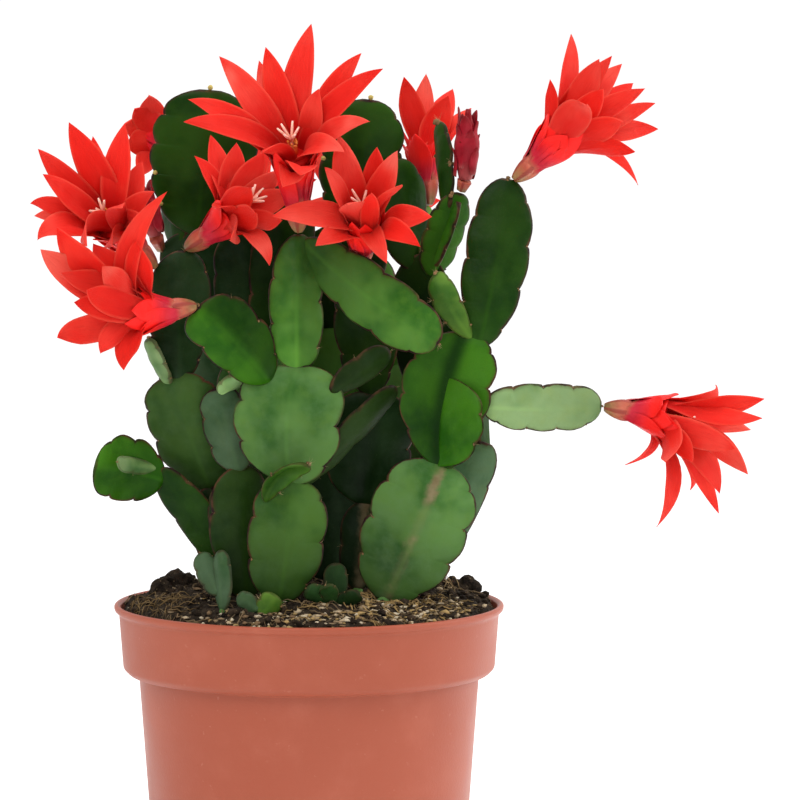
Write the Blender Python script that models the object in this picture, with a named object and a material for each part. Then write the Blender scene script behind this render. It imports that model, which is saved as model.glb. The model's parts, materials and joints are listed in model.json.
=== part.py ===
"""A flowering easter cactus in a plastic nursery pot.

Lengths in the tables are millimetres. A place is (x, height, depth): x and height as seen in the photograph, by a
viewer a little above the horizon, and depth away from the viewer, with 0 at the axis of the pot.
"""

import math
import random

import bmesh
import bpy
from mathutils import Vector

MM = 0.001
GAP = 0.3

# The viewer: elevation, distance, and the place in the middle of the photograph
SEEN_FROM = math.radians(5.5)
SEEN_AT = 2000
SEEN_MIDDLE = (28, 167)

# Pot and soil
POT_SIDES = 24
POT_OUTSIDE = [
    (0, 0), (17, 0), (19, 2), (36.5, 2), (38.5, 0), (45.5, 0), (46.3, 0.8), (52.4, 83.4), (55.4, 83.6),
    (57.2, 85.4), (58.5, 102.2), (59.9, 103.2), (60, 104.6), (59, 105.2),
]
POT_INSIDE = [(57.8, 104.4), (55.8, 86.4), (51.4, 85), (44.6, 1.6), (37.6, 1.6), (35.8, 3.4), (19.6, 3.4), (0, 3.4)]
DRAIN_HOLES = 8
DRAIN_RADIUS = 3.5
SOIL_SIDE = [(44.2, 3.8), (50.8, 85.3), (55.1, 86.8), (57, 103)]
SOIL_RINGS = [55, 48, 37, 20]
SOIL_SIDES = 20
CLODS = 6
BIG_CLODS = [(-42, 16, 4.8), (-46, 8, 3.4), (-38, 22, 3.2), (48, 13, 4.6), (44, 21, 3.2)]

# Foot of a stem, and the hole that it stands in
FOOT_RADIUS = 2.2
SPROUT_FOOT_RADIUS = 1.2
FOOT_DEPTH = 12

# Segments
SEGMENT_THICK = 2.8
WIDEST = 0.56
SCALLOP = 0.09

# Blooms
OVARY_LENGTH = 8
OVARY_RADIUS = 3.6
THROAT_RADIUS = 4.2
FUNNEL = 8
FUNNEL_RADIUS = 6.8
PETAL_THICK = 1.2
PETAL_TROUGH = 0.2
PETAL_TURN = 36
PETAL_WIDER = 1.3
STAMEN_LENGTH = 7

# stem: (x, depth) of its foot, then its segments:
# name, parent, how far across and along the parent it starts, place of the tip, width, turn, notches, sideways bow, arch
STEMS = {
    "stem_front": ((-9, -34), [
        ("a1", None, 0, 0, (-5, 143, -39), 25, 8, 3, 0.5, 1),
        ("a2", "a1", 0, 0.95, (-3, 178, -41), 34, -4, 3, -2.5, 1),
        ("a3", "a2", 0, 0.95, (-3, 218, -34), 17.5, 4, 3, -0.5, 1.5),
        ("a4", "a2", -0.5, 0.84, (-34, 196, -50), 21, -8, 3, 1.5, 2),
        ("a5", "a3", 0.3, 0.95, (40, 184, -45), 20, 8, 4, 1, 2),
        ("a6", "a1", -0.75, 0.8, (0, 147, -50), 9, 25, 2, -2.5, -3),
        ("a7", "a2", 0.8, 0.8, (25, 182, -33), 11, 30, 2, 0, 0),
        ("a8", "a1", 0.3, 0.94, (27, 171, -27), 13, 48, 3, 0, 0),
        ("a9", "a1", 0, 0.9, (-5, 173, -22), 20, 90, 2, 0, 0),
    ]),
    "stem_right_front": ((23, -27), [
        ("d1", None, 0, 0, (41, 148, -33), 33, 6, 4, 0.5, 1),
        ("d2", "d1", 0.05, 0.95, (48, 188, -31), 30, -8, 4, -3, 0),
        ("d3", "d2", 0.6, 0.9, (61, 235, -22), 20.5, 4, 4, 0.8, 1),
        ("d4", "d2", 0.4, 0.95, (39, 206, -42), 9, 10, 3, -1, -2),
        ("d5", "d2", 0.8, 0.5, (90, 165, -22), 15, 10, 4, 0.5, 0),
        ("d6", "d1", 0.1, 0.9, (46, 176, -14), 20, 80, 2, 0, 0),
    ]),
    "stem_middle_right": ((15, -14), [
        ("f1", None, 0, 0, (17, 136, -15), 14, 10, 2, 0, 0),
        ("f2", "f1", 0, 0.95, (20, 170, -17), 29, 8, 3, 0, 1),
        ("f3", "f2", -0.1, 0.95, (16, 208, -24), 20, 0, 3, 0, 0),
    ]),
    "stem_left_front": ((-19, -27), [
        ("b1", None, 0, 0, (-21, 147, -30), 21, 18, 3, -0.5, 1),
        ("b2", "b1", -0.1, 0.95, (-28, 171, -32), 16, -6, 3, 0, 0),
        ("b3", "b2", 0, 0.93, (-19, 175, -37), 9, 50, 3, 0, 0),
        ("b4", None, 0, 0, (-27, 142, -24), 12, 25, 2, -1, 0),
    ]),
    "stem_left_low": ((-16, -18), [
        ("c1", None, 0, 0, (-46, 146, -27), 14, -12, 3, 0, 0),
        ("c2", "c1", -0.2, 0.92, (-66, 147, -33), 21, -4, 3, 0.5, -1),
        ("c3", "c2", 0.5, 0.12, (-59, 148, -39), 5.5, 20, 2, 0, -2),
    ]),
    "stem_left_middle": ((-25, -8), [
        ("g1", None, 0, 0, (-30, 141, -19), 16, 12, 3, 0, 0),
        ("g2", "g1", 0, 0.95, (-42, 175, -27), 26, -10, 4, 0, 2),
        ("g3", "g2", 0.2, 0.93, (-38, 213, -22), 20, 10, 3, -1, 1),
        ("g4", "g2", -0.2, 0.93, (-49, 186, -31), 10, -62, 3, 0, 1),
        ("g5", "g1", 0, 0.9, (-31, 170, -2), 20, 95, 2, 0, 0),
    ]),
    "stem_left_back": ((-20, 14), [
        ("h1", None, 0, 0, (-34, 146, 10), 26, -30, 2, 0, 0),
        ("h2", "h1", 0, 0.95, (-35, 187, 8), 27, -20, 2, 0, 0),
        ("h3", "h2", 0.1, 0.95, (-35, 219, 2), 25, -10, 3, 0, 0),
        ("h4", "h3", 0.1, 0.95, (-30, 262, -4), 34, 4, 5, 0, 1),
        ("h5", "h3", -0.5, 0.85, (-42, 240, 16), 17, -50, 3, 0, 0),
        ("h6", "h1", 0, 0.9, (-32, 178, 28), 24, 85, 2, 0, 0),
    ]),
    "stem_middle": ((-6, -10), [
        ("i1", None, 0, 0, (-11, 146, -9), 26, 4, 2, 0, 0),
        ("i2", "i1", 0, 0.95, (-16, 183, -13), 30, -8, 2, 0, 0),
        ("i3", "i2", -0.3, 0.93, (-22, 219, -15), 18, 4, 3, 0, 0),
        ("i4", "i2", 0.4, 0.93, (-5, 234, -15), 20, 12, 3, 0, 0),
        ("i5", "i2", 0, 0.5, (-14, 204, 6), 20, 95, 2, 0, 0),
    ]),
    "stem_back": ((6, 12), [
        ("j1", None, 0, 0, (4, 147, 10), 32, 16, 2, 0, 0),
        ("j2", "j1", 0, 0.95, (6, 191, 8), 33, -10, 2, 0, 0),
        ("j3", "j2", 0.1, 0.94, (13, 221, 4), 28, 10, 3, 0, 0),
        ("j4", "j3", 0, 0.95, (19, 259, -3), 26, 4, 4, 0, 1),
        ("j5", "j1", 0, 0.9, (6, 180, 30), 26, 95, 2, 0, 0),
        ("j6", "j3", 0, 0.5, (16, 236, 24), 22, 80, 2, 0, 0),
    ]),
    "stem_right_back": ((31, 3), [
        ("k1", None, 0, 0, (55, 154, -8), 17, 14, 2, 0, 0),
        ("k2", "k1", -0.3, 0.84, (33, 212, -5), 24, -18, 3, -3, 0),
        ("k4", "k2", 0.45, 0.88, (46.5, 230.5, -9), 14, 22, 4, 0, 0),
        ("k5", "k2", -0.3, 0.93, (27, 241, -2), 18, 24, 3, 0, 0),
        ("k6", "k4", -0.3, 0.75, (40, 252, 0), 12, -66, 3, 0, 0),
        ("k7", "k2", 0.3, 0.94, (37, 226, 12), 9, 60, 2, 0, 0),
        ("k8", "k1", 0.3, 0.9, (52, 184, 16), 22, 80, 2, 0, 0),
    ]),
    "stem_rear_left": ((-12, 32), [
        ("m1", None, 0, 0, (-22, 145, 40), 30, 160, 2, 0, 0),
        ("m2", "m1", 0, 0.95, (-20, 182, 44), 28, 190, 2, 0, 0),
        ("m3", "m2", 0.1, 0.95, (-18, 214, 40), 21, 170, 3, 0, 0),
        ("m4", "m1", 0.6, 0.85, (-46, 170, 38), 20, 130, 3, 0, 0),
        ("m5", "m1", 0, 0.9, (-24, 172, 62), 22, 80, 2, 0, 0),
    ]),
    "stem_rear_right": ((20, 28), [
        ("n1", None, 0, 0, (28, 143, 34), 30, 195, 2, 0, 0),
        ("n2", "n1", 0, 0.95, (28, 179, 40), 28, 170, 2, 0, 0),
        ("n3", "n2", 0.1, 0.95, (15, 212, 42), 20, 190, 3, 0, 0),
        ("n4", "n1", -0.6, 0.85, (52, 168, 30), 18, 215, 3, 0, 0),
        ("n5", "n1", 0, 0.9, (30, 174, 58), 22, 100, 2, 0, 0),
    ]),
    "sprout_left": ((-25.5, -38), [
        ("p1", None, 0, 0, (-27, 121, -37), 8, -42, 2, 0, 0),
        ("p2", "p1", -0.4, 0.25, (-33.5, 120, -31), 8, 6, 3, 0, 0),
    ]),
    "sprout_front": ((-14, -45), [
        ("q1", None, 0, 0, (-10, 107, -45), 8, 10, 2, 0, 0),
        ("q2", "q1", -0.5, 0.15, (-22, 107, -43), 6, -10, 2, 0, 0),
    ]),
    "sprout_middle": ((8, -37), [
        ("r1", None, 0, 0, (8.5, 117, -36), 8, 6, 2, 0, 0),
        ("r2", "r1", -0.3, 0.1, (-1, 109, -40), 7, -16, 2, 0, 0),
        ("r3", "r1", 0.3, 0.1, (16, 107, -41), 6, 20, 2, 0, 0),
        ("r4", "r1", 0, 0.1, (5, 110, -43), 6, 0, 2, 0, 0),
    ]),
}

# A third wing on a segment: name, parent, wing's reach to the side, turn from the parent, along from and to
WINGS = {
    "stem_right_front": [("w2", "d2", 11, 62, 0.08, 0.9)],
    "stem_right_back": [("w4", "k4", 5, 90, 0.1, 0.92)],
}

# bloom: what it stands on (stem, segment, across, along), place of its throat, direction of its mouth, then its petals: place of the tip, width, curl
BLOOMS = {
    "bloom_top": (("stem_front", "a3", 0, 1), (-4, 238, -44), (-0.1, 0.8, -0.6), [
        ((1, 282, -40), 10, 0.1),
        ((-13, 275, -47), 9.5, 0.1),
        ((-27, 272, -52), 9.5, 0.15),
        ((-37, 259, -58), 8.5, 0.2),
        ((-38, 252, -62), 8.5, 0.2),
        ((16, 273, -50), 8.5, 0.15),
        ((23, 268, -54), 8.5, 0.2),
        ((19, 252, -66), 8, 0.25),
        ((-2, 236, -72), 10, 0.15),
        ((11, 243, -68), 8, 0.3),
        ((-15, 271, -36), 8, 0.1),
        ((-4, 271, -33), 8, 0.1),
        ((-14, 243, -71), 8, 0.12),
    ]),
    "bloom_front": (("stem_middle_right", "f3", 0, 1), (17, 218, -40), (-0.05, 0.8, -0.6), [
        ((9, 248, -44), 10, 0.1),
        ((5, 238, -58), 8.5, 0.1),
        ((21, 244, -46), 9, 0.1),
        ((27, 243, -50), 9, 0.1),
        ((29, 233, -60), 7, 0.1),
        ((38, 223, -54), 9, 0.14),
        ((34, 214, -60), 8, 0.28),
        ((-11, 223, -58), 10, 0.2),
        ((12, 227, -66), 10, 0.15),
        ((19, 230, -64), 6, 0.1),
        ((2, 214, -60), 8, 0.2),
        ((24, 209, -62), 7, 0.2),
    ]),
    "bloom_left_middle": (("stem_left_middle", "g3", 0, 1), (-26, 221, -28), (0.7, 0.6, -0.25), [
        ((-35, 242, -27), 6, 0.2),
        ((-22, 246, -24), 9, 0.1),
        ((-14, 243, -25), 9.5, 0.1),
        ((-9, 237, -28), 9, 0.1),
        ((-4, 230, -31), 9, 0.1),
        ((-8, 222, -42), 8, 0.1),
        ((-16, 224, -50), 9.5, 0.1),
        ((-28, 226, -48), 8, 0.1),
        ((-12, 208, -43), 7, 0.35),
        ((-30, 248, -22), 8, 0.1),
    ]),
    "bloom_left": (("stem_left_middle", "g3", -1, 0.85), (-57, 218, -34), (-0.5, 0.62, -0.6), [
        ((-73, 252, -40), 10.5, 0.1),
        ((-56, 252, -36), 9.5, 0.1),
        ((-83, 244, -44), 8.5, 0.12),
        ((-81, 236, -54), 8.5, 0.12),
        ((-85, 227, -44), 7, 0.35),
        ((-84, 223, -38), 7, 0.2),
        ((-83, 216, -56), 10, 0.35),
        ((-51, 240, -32), 8, 0.1),
        ((-57, 226, -70), 7, 0.1),
        ((-47, 231, -56), 7.5, 0.15),
        ((-68, 214, -68), 9, 0.2),
        ((-66, 248, -28), 8, 0.1),
    ]),
    "bloom_low_left": (("stem_front", "a4", 0, 1), (-47, 193.5, -56), (-0.97, 0.1, -0.2), [
        ((-43, 231, -60), 8.5, 0.45),
        ((-77, 220, -65), 11, 0.15),
        ((-82, 213, -69), 11, 0.12),
        ((-76, 206, -69), 9, 0.1),
        ((-77, 186, -66), 10, 0.2),
        ((-64, 181, -70), 8, 0.25),
        ((-57, 176, -62), 8.5, 0.3),
        ((-68, 201, -80), 9, 0.1),
        ((-63, 208, -78), 9, 0.1),
        ((-70, 202, -42), 8.5, 0.12),
        ((-62, 186, -43), 8, 0.25),
    ]),
    "bloom_top_right": (("stem_right_front", "d3", 0.5, 0.985), (74, 244, -24), (0.66, 0.74, -0.1), [
        ((80, 279, -14), 6.5, 0.15),
        ((74, 265, -30), 6, 0.1),
        ((89, 271, -33), 10, 0.1),
        ((93, 272, -24), 8, 0.05),
        ((96, 270, -14), 9, 0.05),
        ((99, 264, -8), 9, 0.1),
        ((103, 262, -34), 8, 0.1),
        ((106, 258, -20), 7, 0.1),
        ((107, 250, -14), 8, 0.1),
        ((100, 243, -36), 9, 0.1),
        ((101, 233, -24), 5, 0.32),
        ((85, 257, -48), 11, 0.2),
    ]),
    "bloom_far_right": (("stem_right_front", "d5", 0, 1), (104, 163, -24), (0.93, -0.2, -0.2), [
        ((125, 172, -16), 6, 0.5),
        ((140, 167, -24), 8.5, 0.05),
        ((139, 161, -32), 8, 0.05),
        ((136, 158, -14), 7, 0.05),
        ((135, 144, -32), 12, 0.1),
        ((126, 138, -22), 9, 0.2),
        ((126, 132, -14), 6, 0.1),
        ((107, 128, -28), 6.5, 0.3),
        ((97, 147, -16), 5, 0.55),
        ((117, 139, -10), 5, 0.3),
        ((109, 148, -46), 10, 0.2),
    ]),
    "bloom_right_back": (("stem_right_back", "k7", 0, 1), (36, 239, 15), (0.02, 0.98, 0.15), [
        ((29, 266, 12), 9, 0.05),
        ((36, 267, 19), 9, 0.05),
        ((43, 260, 11), 10, 0.05),
        ((30, 264, 26), 9, 0.1),
        ((44, 262, 28), 9, 0.1),
        ((50, 256, 20), 8, 0.1),
        ((37, 254, 36), 9, 0.1),
    ]),
    "bloom_left_back": (("stem_left_back", "h5", 0, 1), (-44, 246, 28), (-0.3, 0.3, 0.9), [
        ((-49, 260, 20), 9, 0.3),
        ((-53, 256, 22), 9, 0.3),
        ((-56, 251, 24), 9, 0.3),
        ((-56, 245, 24), 9, 0.3),
        ((-52, 235, 22), 8, 0.3),
        ((-35, 256, 54), 9, 0.1),
        ((-50, 250, 58), 9, 0.1),
        ((-46, 236, 56), 9, 0.1),
        ((-32, 238, 56), 9, 0.1),
    ]),
    "bloom_rear_left": (("stem_rear_left", "m3", 0, 1), (-20, 223, 52), (-0.1, 0.5, 0.8), None),
    "bloom_rear_right": (("stem_rear_right", "n3", 0, 1), (14, 220, 55), (0.05, 0.45, 0.85), None),
}

# Petals of a bloom that the photograph doesn't show: how many, reach forward and outward, width, first angle
HIDDEN_WHORLS = [(3, 34, 13, 10, 20), (5, 24, 26, 10, 58)]

# Which draw of the small differences between a bloom's petals is taken
PETAL_SEEDS = {}

# bud: what it stands on, place of its shoulder and of its tip, radius
BUDS = {
    "bud_right": (("stem_right_back", "k4", 0, 1), (48, 234.6, -10.5), (49, 257.5, -13), 4.4),
    "bud_left": (("stem_left_back", "h3", -1, 0.82), (-47, 217.5, -4), (-52, 235, -8), 4.4),
}

COLOURS = {
    "plastic": (0.47, 0.12, 0.07, 1),
    "peat": (0.03, 0.02, 0.01, 1),
    "green": (0.06, 0.2, 0.03, 1),
    "red": (0.85, 0.02, 0.01, 1),
    "olive": (0.5, 0.25, 0.12, 1),
    "yellow": (0.9, 0.4, 0.15, 1),
    "crimson": (0.4, 0.01, 0.03, 1),
}


def seen(place):
    """The point, in millimetres, that the viewer sees at this x and height when it lies at this depth."""
    x, height, depth = place
    spread = depth / SEEN_AT
    x += (x - SEEN_MIDDLE[0]) * spread
    height += (height - SEEN_MIDDLE[1]) * spread
    return Vector((x, depth, (height - depth * math.sin(SEEN_FROM)) / math.cos(SEEN_FROM)))


def heap(x, y):
    """Height of the soil's even surface."""
    r = min(math.hypot(x, y) / 57, 1)
    return 103.4 + 6 * (1 - r**3) + 0.5 * math.sin(0.31 * x + 1) * math.cos(0.27 * y)


def scallop(x):
    return 1 - SCALLOP * (1 - abs(math.sin(math.pi * x)) ** 0.7)


# Shapes made of a grid that is laid out by a rule


def grid_mesh(columns, rows, place):
    """A grid, cut into triangles the same way throughout, whose vertex (i, j) lies at place(i, j)."""
    mesh = bmesh.new()
    bmesh.ops.create_grid(mesh, x_segments=columns - 1, y_segments=rows - 1, size=0.5)
    bmesh.ops.triangulate(mesh, faces=mesh.faces, quad_method="FIXED")
    for vertex in mesh.verts:
        i = round((vertex.co.x + 0.5) * (columns - 1))
        j = round((vertex.co.y + 0.5) * (rows - 1))
        vertex.co = place(i, j) * MM
    return mesh


def lens(across, along, point, half_thickness):
    """Two sheets with the same triangles, a thickness apart, which meet along their rim."""
    step = 1e-3

    def pushed(side):
        def place(i, j):
            u, t = across[i], along[j]
            wide = point(u + step, t) - point(u - step, t)
            long = point(u, t + step) - point(u, t - step)
            normal = wide.cross(long)
            if normal.length > 0:
                normal.normalize()
            return point(u, t) + normal * side * half_thickness(u, t)

        return place

    front = grid_mesh(len(across), len(along), pushed(1))
    back = grid_mesh(len(across), len(along), pushed(-1))
    bmesh.ops.reverse_faces(back, faces=back.faces)
    mesh = bpy.data.meshes.new("back")
    back.to_mesh(mesh)
    back.free()
    front.from_mesh(mesh)
    bpy.data.meshes.remove(mesh)
    bmesh.ops.remove_doubles(front, verts=front.verts, dist=1e-6)
    return front


def spindle(path, radii, sides, ribs=0, rib_depth=0):
    """A round solid along a path of points, closed at both ends, with lengthwise ribs if asked."""
    first = (path[1] - path[0]).orthogonal().normalized()

    def place(i, j):
        if j == 0:
            return path[0].copy()
        if j == len(path) + 1:
            return path[-1].copy()
        k = j - 1
        axis = (path[min(k + 1, len(path) - 1)] - path[max(k - 1, 0)]).normalized()
        e1 = (first - axis * first.dot(axis)).normalized()
        e2 = axis.cross(e1)
        angle = 2 * math.pi * i / sides
        r = radii[k]
        if ribs:
            r *= 1 - rib_depth * (0.5 - 0.5 * math.cos(ribs * angle))
        return path[k] + (e1 * math.cos(angle) + e2 * math.sin(angle)) * r

    mesh = grid_mesh(sides + 1, len(path) + 2, place)
    bmesh.ops.remove_doubles(mesh, verts=mesh.verts, dist=1e-6)
    return mesh


def outward(mesh):
    bmesh.ops.recalc_face_normals(mesh, faces=mesh.faces)
    return mesh


# Segments of the leafy stems


def segment_width(t, widest=WIDEST):
    """Half-width along a segment, as a share of the greatest."""
    if t < widest:
        return max(1 - ((widest - t) / widest) ** 2, 0) ** 0.55
    return max(1 - ((t - widest) / (1 - widest)) ** 2.4, 0) ** 0.5


class Segment:
    """A flat leaf-like joint: its mid-surface, its rows and its thickness."""

    def __init__(self, base, tip, width, turn, notches, bow, arch):
        self.base = base
        self.along = tip - base
        axis = self.along.normalized()
        facing = Vector((0, -1, 0))
        facing -= axis * facing.dot(axis)
        facing.normalize()
        side = axis.cross(facing)
        turn = math.radians(turn)
        self.side = side * math.cos(turn) - facing * math.sin(turn)
        self.facing = facing * math.cos(turn) + side * math.sin(turn)
        self.width = width
        self.notches = notches
        self.bow = bow
        self.arch = arch

    def spine(self, t):
        bend = 4 * t * (1 - t)
        return self.base + self.along * t + self.side * self.bow * bend + self.facing * self.arch * bend

    def edge(self, side, t):
        """Distance from the spine to the margin, on the side 1 or -1."""
        phase = 0.5 if side > 0 else 0
        return self.width / 2 * segment_width(t) * scallop(self.notches * t + phase)

    def point(self, u, t):
        return self.spine(t) + self.side * self.edge(1 if u > 0 else -1, t) * u

    def half_thickness(self, u, t):
        inside = min(t, 1 - t)
        ends = min(inside / 0.08, 1) ** 0.5 if inside > 0 else 0
        return SEGMENT_THICK / 2 * (1 - abs(u)) * ends

    def rows(self):
        n = 2 * self.notches
        middle = [j / n for j in range(1, n)]
        return [0, 0.04, *middle, 0.96, 1] if n > 4 else [0, *middle, 1]

    def mesh(self):
        return outward(lens([-1, 0, 1], self.rows(), self.point, self.half_thickness))


class Wing(Segment):
    """A third blade on the spine of a segment."""

    def __init__(self, parent, reach, turn, start, end):
        self.parent = parent
        self.reach = reach
        self.start = start
        self.end = end
        turn = math.radians(turn)
        self.out = parent.side * math.cos(turn) + parent.facing * math.sin(turn)

    def point(self, u, t):
        edge = self.reach * segment_width(t) * scallop(3 * t)
        return self.parent.spine(self.start + (self.end - self.start) * t) + self.out * edge * (u + 1) / 2

    def half_thickness(self, u, t):
        return SEGMENT_THICK / 2 * (1 - abs(u)) * (1 if 0 < t < 1 else 0)

    def rows(self):
        return [0, 0.06, 0.25, 0.5, 0.75, 0.94, 1]


def stem_segments(name):
    """The segments of a stem by name, each started on its parent."""
    (x, depth), rows = STEMS[name]
    found = {}
    for key, parent, across, along, tip, width, turn, notches, bow, arch in rows:
        if parent is None:
            base = Vector((x, depth, heap(x, depth) + 0.6))
        else:
            base = found[parent].point(across, along)
        found[key] = Segment(base, seen(tip), width, turn, notches, bow, arch)
    for key, parent, reach, turn, start, end in WINGS.get(name, []):
        found[key] = Wing(found[parent], reach, turn, start, end)
    return found


def foot_radius(stem):
    return SPROUT_FOOT_RADIUS if stem.startswith("sprout") else FOOT_RADIUS


# Blooms and buds


def petal_width(t):
    if t <= 0:
        return 0
    if t < 0.5:
        return 0.3 + 0.7 * math.sin(t * math.pi)
    return max(1 - ((t - 0.5) / 0.5) ** 2.2, 0)


class Petal:
    def __init__(self, throat, mouth, tip, width, curl, layer):
        reach = tip - throat
        out = reach - mouth * reach.dot(mouth)
        out.normalize()
        self.start = throat + out * (2 + 1.8 * layer) - mouth * layer
        length = (tip - self.start).length
        self.bends = [
            self.start,
            self.start + (mouth + out * (0.15 + 0.3 * layer)) * length * 0.25,
            self.start.lerp(tip, 0.6) + (mouth - out * 0.3) * length * curl,
            tip,
        ]
        self.across = mouth.cross(out)
        shown = (tip - self.start).cross(Vector((0, -1, 0)))
        if shown.dot(self.across) < 0:
            shown.negate()
        self.beside = (shown - self.across * shown.dot(self.across)).normalized()
        self.turn = min(self.across.angle(shown) * 0.7, math.radians(PETAL_TURN))
        self.width = width * PETAL_WIDER

    def spine(self, t):
        a, b, c, d = self.bends
        s = 1 - t
        return a * s**3 + b * 3 * s * s * t + c * 3 * s * t * t + d * t**3

    def side(self, t):
        """Across the petal: around the mouth at its foot, and then turned towards the viewer."""
        turn = self.turn * min(t / 0.7, 1)
        across = self.across * math.cos(turn) + self.beside * math.sin(turn)
        forward = self.forward(t)
        return (across - forward * across.dot(forward)).normalized()

    def forward(self, t):
        step = 1e-3
        return (self.spine(t + step) - self.spine(t - step)).normalized()

    def point(self, u, t):
        """The blade is a trough, with both edges raised towards the middle of the bloom."""
        half = self.width / 2 * petal_width(t)
        inward = self.forward(t).cross(self.side(t))
        return self.spine(t) + self.side(t) * half * u + inward * half * PETAL_TROUGH * abs(u)

    def half_thickness(self, u, t):
        return PETAL_THICK / 2 * (1 - abs(u))

    def mesh(self):
        return outward(lens([-1, 0, 1], [0, 0.36, 0.68, 1], self.point, self.half_thickness))


def perch(on, towards):
    """The place just off a segment's margin where a bloom stands."""
    stem, key, across, along = on
    edge = stem_segments(stem)[key].point(across, along)
    return edge + (towards - edge).normalized() * GAP * 2.4


def bloom_frame(name):
    on, throat, mouth, tips = BLOOMS[name]
    throat = seen(throat)
    foot = perch(on, throat)
    mouth = Vector((mouth[0], mouth[2], mouth[1])).normalized()
    return foot, throat, mouth, tips


def angle_about(axis, direction):
    e1 = axis.orthogonal().normalized()
    return math.atan2(direction.dot(axis.cross(e1)), direction.dot(e1))


def bloom_petals(name):
    _, throat, mouth, tips = bloom_frame(name)
    if tips is not None:
        tips = [(seen(tip), width, curl) for tip, width, curl in tips]
    else:
        tips = []
        e1 = mouth.orthogonal().normalized()
        e2 = mouth.cross(e1)
        for count, forward, outward_reach, width, first in HIDDEN_WHORLS:
            for k in range(count):
                angle = math.radians(first + 360 * k / count)
                reach = (e1 * math.cos(angle) + e2 * math.sin(angle)) * outward_reach
                tips.append((throat + mouth * forward + reach, width, 0.12))
    tips.sort(key=lambda entry: angle_about(mouth, entry[0] - throat))
    rng = random.Random(f"{name} {PETAL_SEEDS.get(name, 0)}")
    petals = []
    for k, (tip, width, curl) in enumerate(tips):
        tip = tip + Vector([rng.uniform(-0.3, 0.3) for _ in range(3)])
        petals.append(Petal(throat, mouth, tip, width + rng.uniform(-0.2, 0.2), curl, k % 2))
    return petals


def ovary_mesh(foot, throat):
    axis = (throat - foot).normalized()
    path = [foot + axis * OVARY_LENGTH * s for s in (0, 0.5, 1)]
    radii = [OVARY_RADIUS * s for s in (0.34, 1, 0.9)]
    return outward(spindle(path, radii, 10, 5, 0.16))


def tube_mesh(foot, throat, mouth):
    """The tube, with the funnel that the feet of the petals make."""
    axis = (throat - foot).normalized()
    start = foot + axis * (OVARY_LENGTH + GAP)
    path = [start, throat, throat + mouth * FUNNEL]
    return outward(spindle(path, [OVARY_RADIUS * 0.9, THROAT_RADIUS, FUNNEL_RADIUS], 8))


def stamen_meshes(throat, mouth):
    """A column of filaments, and the lobes of the stigma on it."""
    start = throat + mouth * (FUNNEL + GAP)
    top = start + mouth * (STAMEN_LENGTH - 3)
    meshes = [spindle([start, top], [0.9, 1.2], 4)]
    e1 = mouth.orthogonal().normalized()
    e2 = mouth.cross(e1)
    for k in range(3):
        angle = 2 * math.pi * k / 3
        out = e1 * math.cos(angle) + e2 * math.sin(angle)
        meshes.append(spindle([top - mouth, top + mouth * 3 + out * 1.5], [0.4, 0.4], 3))
    return [outward(mesh) for mesh in meshes]


def bud_frame(name):
    on, shoulder, tip, radius = BUDS[name]
    shoulder = seen(shoulder)
    return perch(on, shoulder), shoulder, seen(tip), radius


def bud_meshes(name):
    _, start, end, radius = bud_frame(name)
    path = [start.lerp(end, s) for s in (0.02, 0.14, 0.4, 0.75, 0.98)]
    radii = [radius * s for s in (0.5, 0.9, 1, 0.85, 0.25)]
    meshes = [spindle(path, radii, 8)]
    axis = (end - start).normalized()
    e1 = axis.orthogonal().normalized()
    e2 = axis.cross(e1)
    for k in range(5):
        angle = 2.4 * k
        out = e1 * math.cos(angle) + e2 * math.sin(angle)
        low = start.lerp(end, 0.15 + 0.1 * k)
        path = [low + out * radius * 0.5, low.lerp(end, 0.35) + out * radius * 0.85]
        path.append(low.lerp(end, 0.62) + out * radius * 1.12)
        meshes.append(spindle(path, [1.2, 1.6, 0.3], 4))
    return [outward(mesh) for mesh in meshes]


# Pot and soil


def revolved(profile, sides):
    """A solid of revolution about the pot's axis, from a profile that starts and ends on it."""
    mesh = bmesh.new()
    points = [mesh.verts.new((r * MM, 0, z * MM)) for r, z in profile]
    for a, b in zip(points, points[1:]):
        mesh.edges.new((a, b))
    bmesh.ops.spin(
        mesh,
        geom=mesh.verts[:] + mesh.edges[:],
        cent=(0, 0, 0),
        axis=(0, 0, 1),
        angle=2 * math.pi,
        steps=sides,
        use_merge=True,
    )
    bmesh.ops.remove_doubles(mesh, verts=mesh.verts, dist=1e-6)
    return outward(mesh)


def peg(x, y, bottom, top, radius, sides):
    mesh = bmesh.new()
    bmesh.ops.create_cone(
        mesh,
        cap_ends=True,
        segments=sides,
        radius1=radius * MM,
        radius2=radius * MM,
        depth=(top - bottom) * MM,
    )
    bmesh.ops.translate(mesh, verts=mesh.verts, vec=Vector((x, y, (bottom + top) / 2)) * MM)
    return outward(mesh)


def soil_mesh():
    """Rings of points, from the middle of the floor up the side and over the heap."""
    rng = random.Random(4)
    rings = [(0, 3.8)] + SOIL_SIDE + [(r, None) for r in SOIL_RINGS] + [(0, None)]

    def place(i, j):
        r, z = rings[j]
        angle = 2 * math.pi * i / SOIL_SIDES
        x, y = r * math.cos(angle), r * math.sin(angle)
        if z is None:
            z = heap(x, y) + (rng.uniform(-0.9, 0.1) if 0 < i < SOIL_SIDES and r > 0 else 0)
        return Vector((x, y, z))

    mesh = grid_mesh(SOIL_SIDES + 1, len(rings), place)
    bmesh.ops.remove_doubles(mesh, verts=mesh.verts, dist=1e-6)
    return outward(mesh)


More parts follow.
